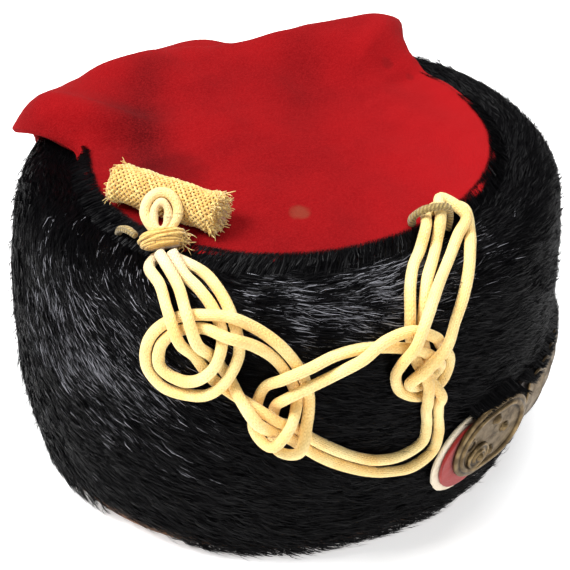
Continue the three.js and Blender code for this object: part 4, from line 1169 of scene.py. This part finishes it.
def covered(around, up):
    """Where the trimmings lie on the fur, so that no hair grows through them"""
    side = np.abs(around)
    per_degree = MEAN_RADIUS * math.pi / 180
    steep = math.atan(2 * (CHAIN_SIDE - CHAIN_FRONT) / CHAIN_START / per_degree)
    ahead, above = (CHAIN_START - side) * per_degree, up - CHAIN_SIDE
    along = ahead * math.cos(steep) - above * math.sin(steep)
    aside = above * math.cos(steep) + ahead * math.sin(steep)
    disc = np.hypot(along, aside - COCKADE_ASIDE) < COCKADE_RADIUS - 0.5
    past_round = np.maximum(along - PLATE_AHEAD - PLATE_HALF, 0)
    plate = (along > 0) & (along < 34) & (np.hypot(past_round, aside) < PLATE_RADIUS - 0.5)
    strap = (side < CHAIN_START) & (np.abs(up - chain_height(side)) < STRAP_WIDTH / 2 + 0.5)
    return disc | plate | strap


def sheen_patch(around, up):
    """Where the fur shines: the flank at the photo's left, and high under the seam"""
    flank = np.exp(-((around + 158) / 18) ** 2 - ((up - 102) / 30) ** 2)
    front = np.exp(-((around + 100) / 22) ** 2 - ((up - 140) / 14) ** 2)
    return np.clip(flank + front, 0, 1)


def tuft_of(around, up):
    """The middle of the tuft that each root belongs to, on a shaken grid, and its mark"""
    dice = np.random.default_rng(90)
    columns, rows = int(360 / TUFT_DEGREES), TUFT_ROWS
    shake = dice.uniform(-0.45, 0.45, (rows, columns, 2))
    row = np.clip((up / TUFT_HEIGHT).astype(int), 0, rows - 1)
    column = ((around % 360) / TUFT_DEGREES - 0.5 * (row % 2)).astype(int) % columns
    shift, rise = shake[row, column, 0], shake[row, column, 1]
    middle = (column + 0.5 + 0.5 * (row % 2) + shift) * TUFT_DEGREES
    return middle, (row + 0.5 + rise) * TUFT_HEIGHT, shift + rise

# %% [markdown]
# Each hair is a tapered ribbon through three places: its root inside the solid, its middle,
# and its tip, drawn to the middle of its tuft. A few stray hairs stand further out.

# %% One belt of hairs
def fur_hairs(around, up, seed):
    """Hairs from roots at those places, as ribbons, with the tone and painted sheen of each"""
    dice = np.random.default_rng(seed)
    count = len(around)
    roots = outside(around, up, -ROOT_DEPTH)
    slope = np.radians(hair_slope(around, up, roots) + dice.normal(0, 7, count))
    reach = dice.uniform(*HAIR_LENGTH, count) * (1 + 0.12 * tuft_long(roots))
    base = oval_point(np.radians(around), fur_profile(up)[0], 0.0)
    girth = np.maximum(60, np.hypot(base[..., 0], base[..., 1]))
    step_around = np.degrees(np.cos(slope) * reach / girth)
    step_up = -np.sin(slope) * reach
    tuft_around, tuft_up, tuft_mark = tuft_of(around, up)
    near = ((tuft_around - around + 180) % 360) - 180
    tip_around = around + step_around + TUFT_PULL * near
    tip_up = np.maximum(up + step_up + TUFT_PULL * (tuft_up - up), 1.2)
    stand = dice.normal(-0.6, 0.4, count) + 0.45 * tuft_stand(roots) + 0.4 * tuft_mark
    stray = dice.random(count) < STRAY_SHARE
    stand = np.where(stray, stand + dice.uniform(0.8, 2.6, count), stand)
    stand = np.clip(stand, -1.5, 2.6)
    share = np.array([0, 0.45, 1.0])
    path_around = around[:, None] + (tip_around - around)[:, None] * share
    path_up = up[:, None] + (tip_up - up)[:, None] * share**1.15
    lift = -ROOT_DEPTH + (stand[:, None] + ROOT_DEPTH) * np.array([0, 0.8, 1.0])
    paths = outside(path_around, path_up, lift)
    ahead = unit(paths[:, 2] - paths[:, 0])
    out = outward(path_around[:, 1], path_up[:, 1])
    flat = unit(np.cross(ahead, out))
    roll = dice.normal(0, 0.55, count)[:, None]
    across = flat * np.cos(roll) + out * np.sin(roll)
    width = HAIR_WIDTH * dice.uniform(0.7, 1.3, count)[:, None] * np.array([0.75, 1.0, 0.3])
    points, triangles = ribbons(paths, across, width)
    tone = np.clip(0.5 + 0.22 * tuft_fine(roots) + dice.normal(0, 0.18, count), 0, 1)
    # Painted sheen: hairs in the shining patches get pale tips.
    patch = sheen_patch(around, up) * (0.6 + 0.5 * tuft_fine(roots))
    painted_sheen = dice.uniform(0.3, 1.0, count) * (dice.random(count) < 0.5 * patch)
    return points, triangles, tone, painted_sheen

# %% [markdown]
# The hairs are near black and glossy, and where they shine their tips are painted pale, a
# painted sheen. Under them the solid shows as dark undercoat, and as tan skin where the
# lower edge is worn. The pelt is four belts of hairs, with no roots where the trimmings lie.

# %% Black fur
black_fur = Finish("black fur", Specular_IOR_Level=0.06)
hair_tone = black_fur.attribute("tone")
hair_along = black_fur.attribute("along")
hair_dark = black_fur.mix(hair_tone, colour(2, 2, 3), colour(9, 8, 10))
hair_tip = black_fur.mix((hair_along - 0.55).clamp() * 0.8, hair_dark, colour(12, 11, 13))
# Painted sheen: pale tips where the hairs lie in the shining patches.
hair_painted_sheen = black_fur.mix(black_fur.attribute("painted_sheen") * hair_along, hair_tip, colour(178, 178, 186))
black_fur.feed(Base_Color=hair_painted_sheen, Roughness=hair_tone * 0.16 + 0.28)
undercoat = Finish("undercoat", Roughness=0.85)
*_, under_up = undercoat.axes("ShaderNodeNewGeometry", "Position")
under_skin = (under_up + undercoat.noise(0.004, 3) * 0.004).smooth(0.0125, 0.009)
under_hair = undercoat.mix(undercoat.noise(0.002, 3), colour(5, 5, 6), colour(14, 13, 15))
under_leather = undercoat.mix(undercoat.noise(0.003, 4), colour(150, 104, 66), colour(78, 50, 32))
undercoat.feed(Base_Color=undercoat.mix(under_skin, under_hair, under_leather))
undercoat.bump(undercoat.noise(0.0012, 3), 0.001, 1.0)
undercoat.cover(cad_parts["fur_body"], "black_fur")

# %% Four belts of fur
def worn_edge(around, up):
    """Where the hair at the lower edge is rubbed off, and the skin shows"""
    return (up < 10) & (np.abs(around + 147) < 12 + 4 * np.sin(around * 1.7))


def hair_piece(name, points, triangles, tone, painted_sheen):
    """Ribbons of black hair as one piece, with a tone and a painted sheen for each hair"""
    along = np.tile([0, 0, 0.5, 0.5, 1.0], len(tone))
    tones = {"tone": np.repeat(tone, 5), "painted_sheen": np.repeat(painted_sheen, 5)}
    piece = mesh_object(name, points, triangles, along=along, **tones)
    black_fur.cover(piece, "black_fur")
    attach(piece, "root")
    print(name + ":", len(tone), "hairs,", len(triangles), "triangles")


def spread_roots(count, low, high, seed):
    """Roots spread evenly over the outside between two distances up"""
    dice = np.random.default_rng(seed)
    up = dice.uniform(low, high, count * 2)
    around = dice.uniform(-180, 180, count * 2)
    room = 1 - np.clip((up - SHOULDER) / 140, 0, 0.3)
    keep = dice.random(count * 2) < room
    return around[keep][:count], up[keep][:count]


FUR_BELTS = [(FUR_LOW, 44, 52000), (42, 84, 58000), (82, 122, 58000), (120, SEAM_UP - 1.5, 58000)]
for belt, (low, high, count) in enumerate(FUR_BELTS, 1):
    around, up = spread_roots(count, low, high, 100 + belt)
    keep = ~covered(around, up) & ~worn_edge(around, up)
    hair_piece(f"fur_belt_{belt}", *fur_hairs(around[keep], up[keep], 110 + belt))

# %% [markdown]
# Longer hairs lap over what is sewn and hung on the fur: over the edge of the bag all
# round its seam, and over the upper edges of the cockades, their plates and the chin strap.

# %% Lapping hairs
LAP_WIDTH = 0.36
SEAM_HAIRS, COCKADE_HAIRS, STRAP_HAIRS = 15000, 420, 900


def lapping_hairs(name, start, middle, end, seed):
    """Hairs through three places each, as one piece"""
    dice = np.random.default_rng(seed)
    paths = np.stack([start, middle, end], 1)
    across = unit(np.cross(paths[:, 2] - paths[:, 0], middle - [0, 0, 60]))
    across = unit(across + dice.normal(0, 0.4, across.shape))
    width = LAP_WIDTH * dice.uniform(0.7, 1.3, len(paths))[:, None] * np.array([0.8, 1.0, 0.3])
    tone = dice.uniform(0.1, 0.9, len(paths))
    hair_piece(name, *ribbons(paths, across, width), tone, 0 * tone)


# %% Hairs over the bag's seam
dice = np.random.default_rng(300)
seam_around = dice.uniform(-180, 180, SEAM_HAIRS)
seam_around = seam_around[bag_edge(seam_around)[1] < 6]
count = len(seam_around)
clump = dice.uniform(0, 1, 720)[((seam_around + 180) * 2).astype(int) % 720]
run = np.radians(seam_around + 1.5 + 3.5 * dice.random(count))
out, up, _ = bag_edge(seam_around)
seam_start = outside(seam_around, SEAM_UP - dice.uniform(0.5, 7, count), -1.5)
seam_past = SEAM_UP - dice.uniform(0, 2, count)
seam_middle = outside(seam_around + 1.5, seam_past, up - 2.2 + 0.9 * dice.random(count))
left = np.exp(-((seam_around + 165) / 30) ** 2) + np.exp(-((seam_around - 175) / 30) ** 2)
inward = 0.2 + 1.8 * clump * (0.5 + 0.5 * left) + 0.8 * dice.random(count)
seam_rise = HEIGHT + up + 0.3 + 0.9 * dice.random(count)
seam_end = oval_point(run, -SEAM_INSET + out * 0.55 - 2.6 - inward, seam_rise)
lapping_hairs("seam_hairs", seam_start, seam_middle, seam_end, 301)

# %% Hairs over the cockades and the strap
for side, sign in SIDES:
    dice = np.random.default_rng(310 + sign)
    place = cockade_frame(sign)
    x = dice.uniform(-4, 30, COCKADE_HAIRS)
    disc_edge = COCKADE_ASIDE + np.sqrt(np.maximum(COCKADE_RADIUS**2 - x**2, 0))
    past_round = np.maximum(np.abs(x - PLATE_AHEAD) - PLATE_HALF, 0)
    plate_edge = np.sqrt(np.maximum(PLATE_RADIUS**2 - past_round**2, 0))
    on_plate = plate_edge > disc_edge
    edge = np.maximum(disc_edge, plate_edge)
    top = np.where(on_plate, 2 * (COCKADE_CLOTH + GAP) + 2.2, COCKADE_CLOTH)
    clump = dice.uniform(0, 1, 200)[((x + 20) * 3).astype(int)]
    reach = 0.3 + 3.2 * clump * dice.random(len(x))
    drop = (x / 105) ** 2 * 52
    start = on_chain(place, sign * -x, edge + dice.uniform(1, 5, len(x)), -1 - drop * 0.6)
    middle = on_chain(place, sign * -(x + 2.5), edge + 0.6, top * 0.8 - drop * 0.3)
    end = on_chain(place, sign * -(x + 5), edge - reach, top + 0.3 + 0.4 * dice.random(len(x)))
    lapping_hairs(f"cockade_hairs_{side}", start, middle, end, 320 + sign)

for side, sign in SIDES:
    dice = np.random.default_rng(330 + sign)
    strap_around = sign * dice.uniform(14, STRAP_END - 1, STRAP_HAIRS)
    place = chain_frame(strap_around, 0.0)
    clump = dice.uniform(0, 1, 180)[(np.abs(strap_around) * 3).astype(int)]
    edge = STRAP_WIDTH / 2 + 0.5
    reach = 0.5 + 6 * clump * dice.random(STRAP_HAIRS)
    start = on_chain(place, -2.0, edge + dice.uniform(0.5, 5, STRAP_HAIRS), 0.3)
    middle = on_chain(place, 1.0, edge + 0.3, 4.6 + 0.8 * dice.random(STRAP_HAIRS))
    ahead, rise = 5 + 2 * dice.random(STRAP_HAIRS), 6.2 + 0.7 * dice.random(STRAP_HAIRS)
    end = on_chain(place, ahead, edge - reach, rise)
    lapping_hairs(f"strap_hairs_{side}", start, middle, end, 340 + sign)

# %% [markdown]
# The cap stands on a plain white table in soft studio light: a large key above and to the
# left of the camera, a wide overhead light, and a pale world that fills the shadows.

# %% Table, world and lights
floor_finish = Finish("table", Roughness=0.9, Emission_Strength=0.5)
floor_tone = floor_finish.mix(floor_finish.noise(0.4), colour(250, 250, 250), colour(246, 246, 247))
floor_finish.feed(Base_Color=floor_tone)
floor_mesh = bpy.data.meshes.new("table")
floor_mesh.from_pydata([(-4, -4, 0), (4, -4, 0), (4, 4, 0), (-4, 4, 0)], [], [(0, 1, 2, 3)])
floor = bpy.data.objects.new("table", floor_mesh)
floor.data.materials.append(floor_finish.material)
bpy.context.scene.collection.objects.link(floor)

world = bpy.data.worlds.new("studio")
world.use_nodes = True
sky = world.node_tree.nodes["Background"].inputs
sky["Color"].default_value = (1, 1, 1, 1)
sky["Strength"].default_value = 0.2
bpy.context.scene.world = world
bpy.context.scene.view_settings.view_transform = "Standard"

LIGHTS = [
    # name, place, aim, size, power
    ("key", (-0.75, 0.15, 1.15), (0, 0, 0.1), 0.6, 22),
    ("overhead", (0.35, 0.25, 1.5), (0, 0, 0.1), 0.9, 15),
    ("front", (0.1, -1.5, 1.1), (0, 0, 0.08), 0.8, 9),
]
for name, place, aim, size, power in LIGHTS:
    lamp = bpy.data.lights.new(name, "AREA")
    lamp.shape = "DISK"
    lamp.size = size
    lamp.energy = power
    light = bpy.data.objects.new(name, lamp)
    light.location = place
    light.rotation_euler = (Vector(aim) - Vector(place)).to_track_quat("-Z", "Y").to_euler()
    bpy.context.scene.collection.objects.link(light)
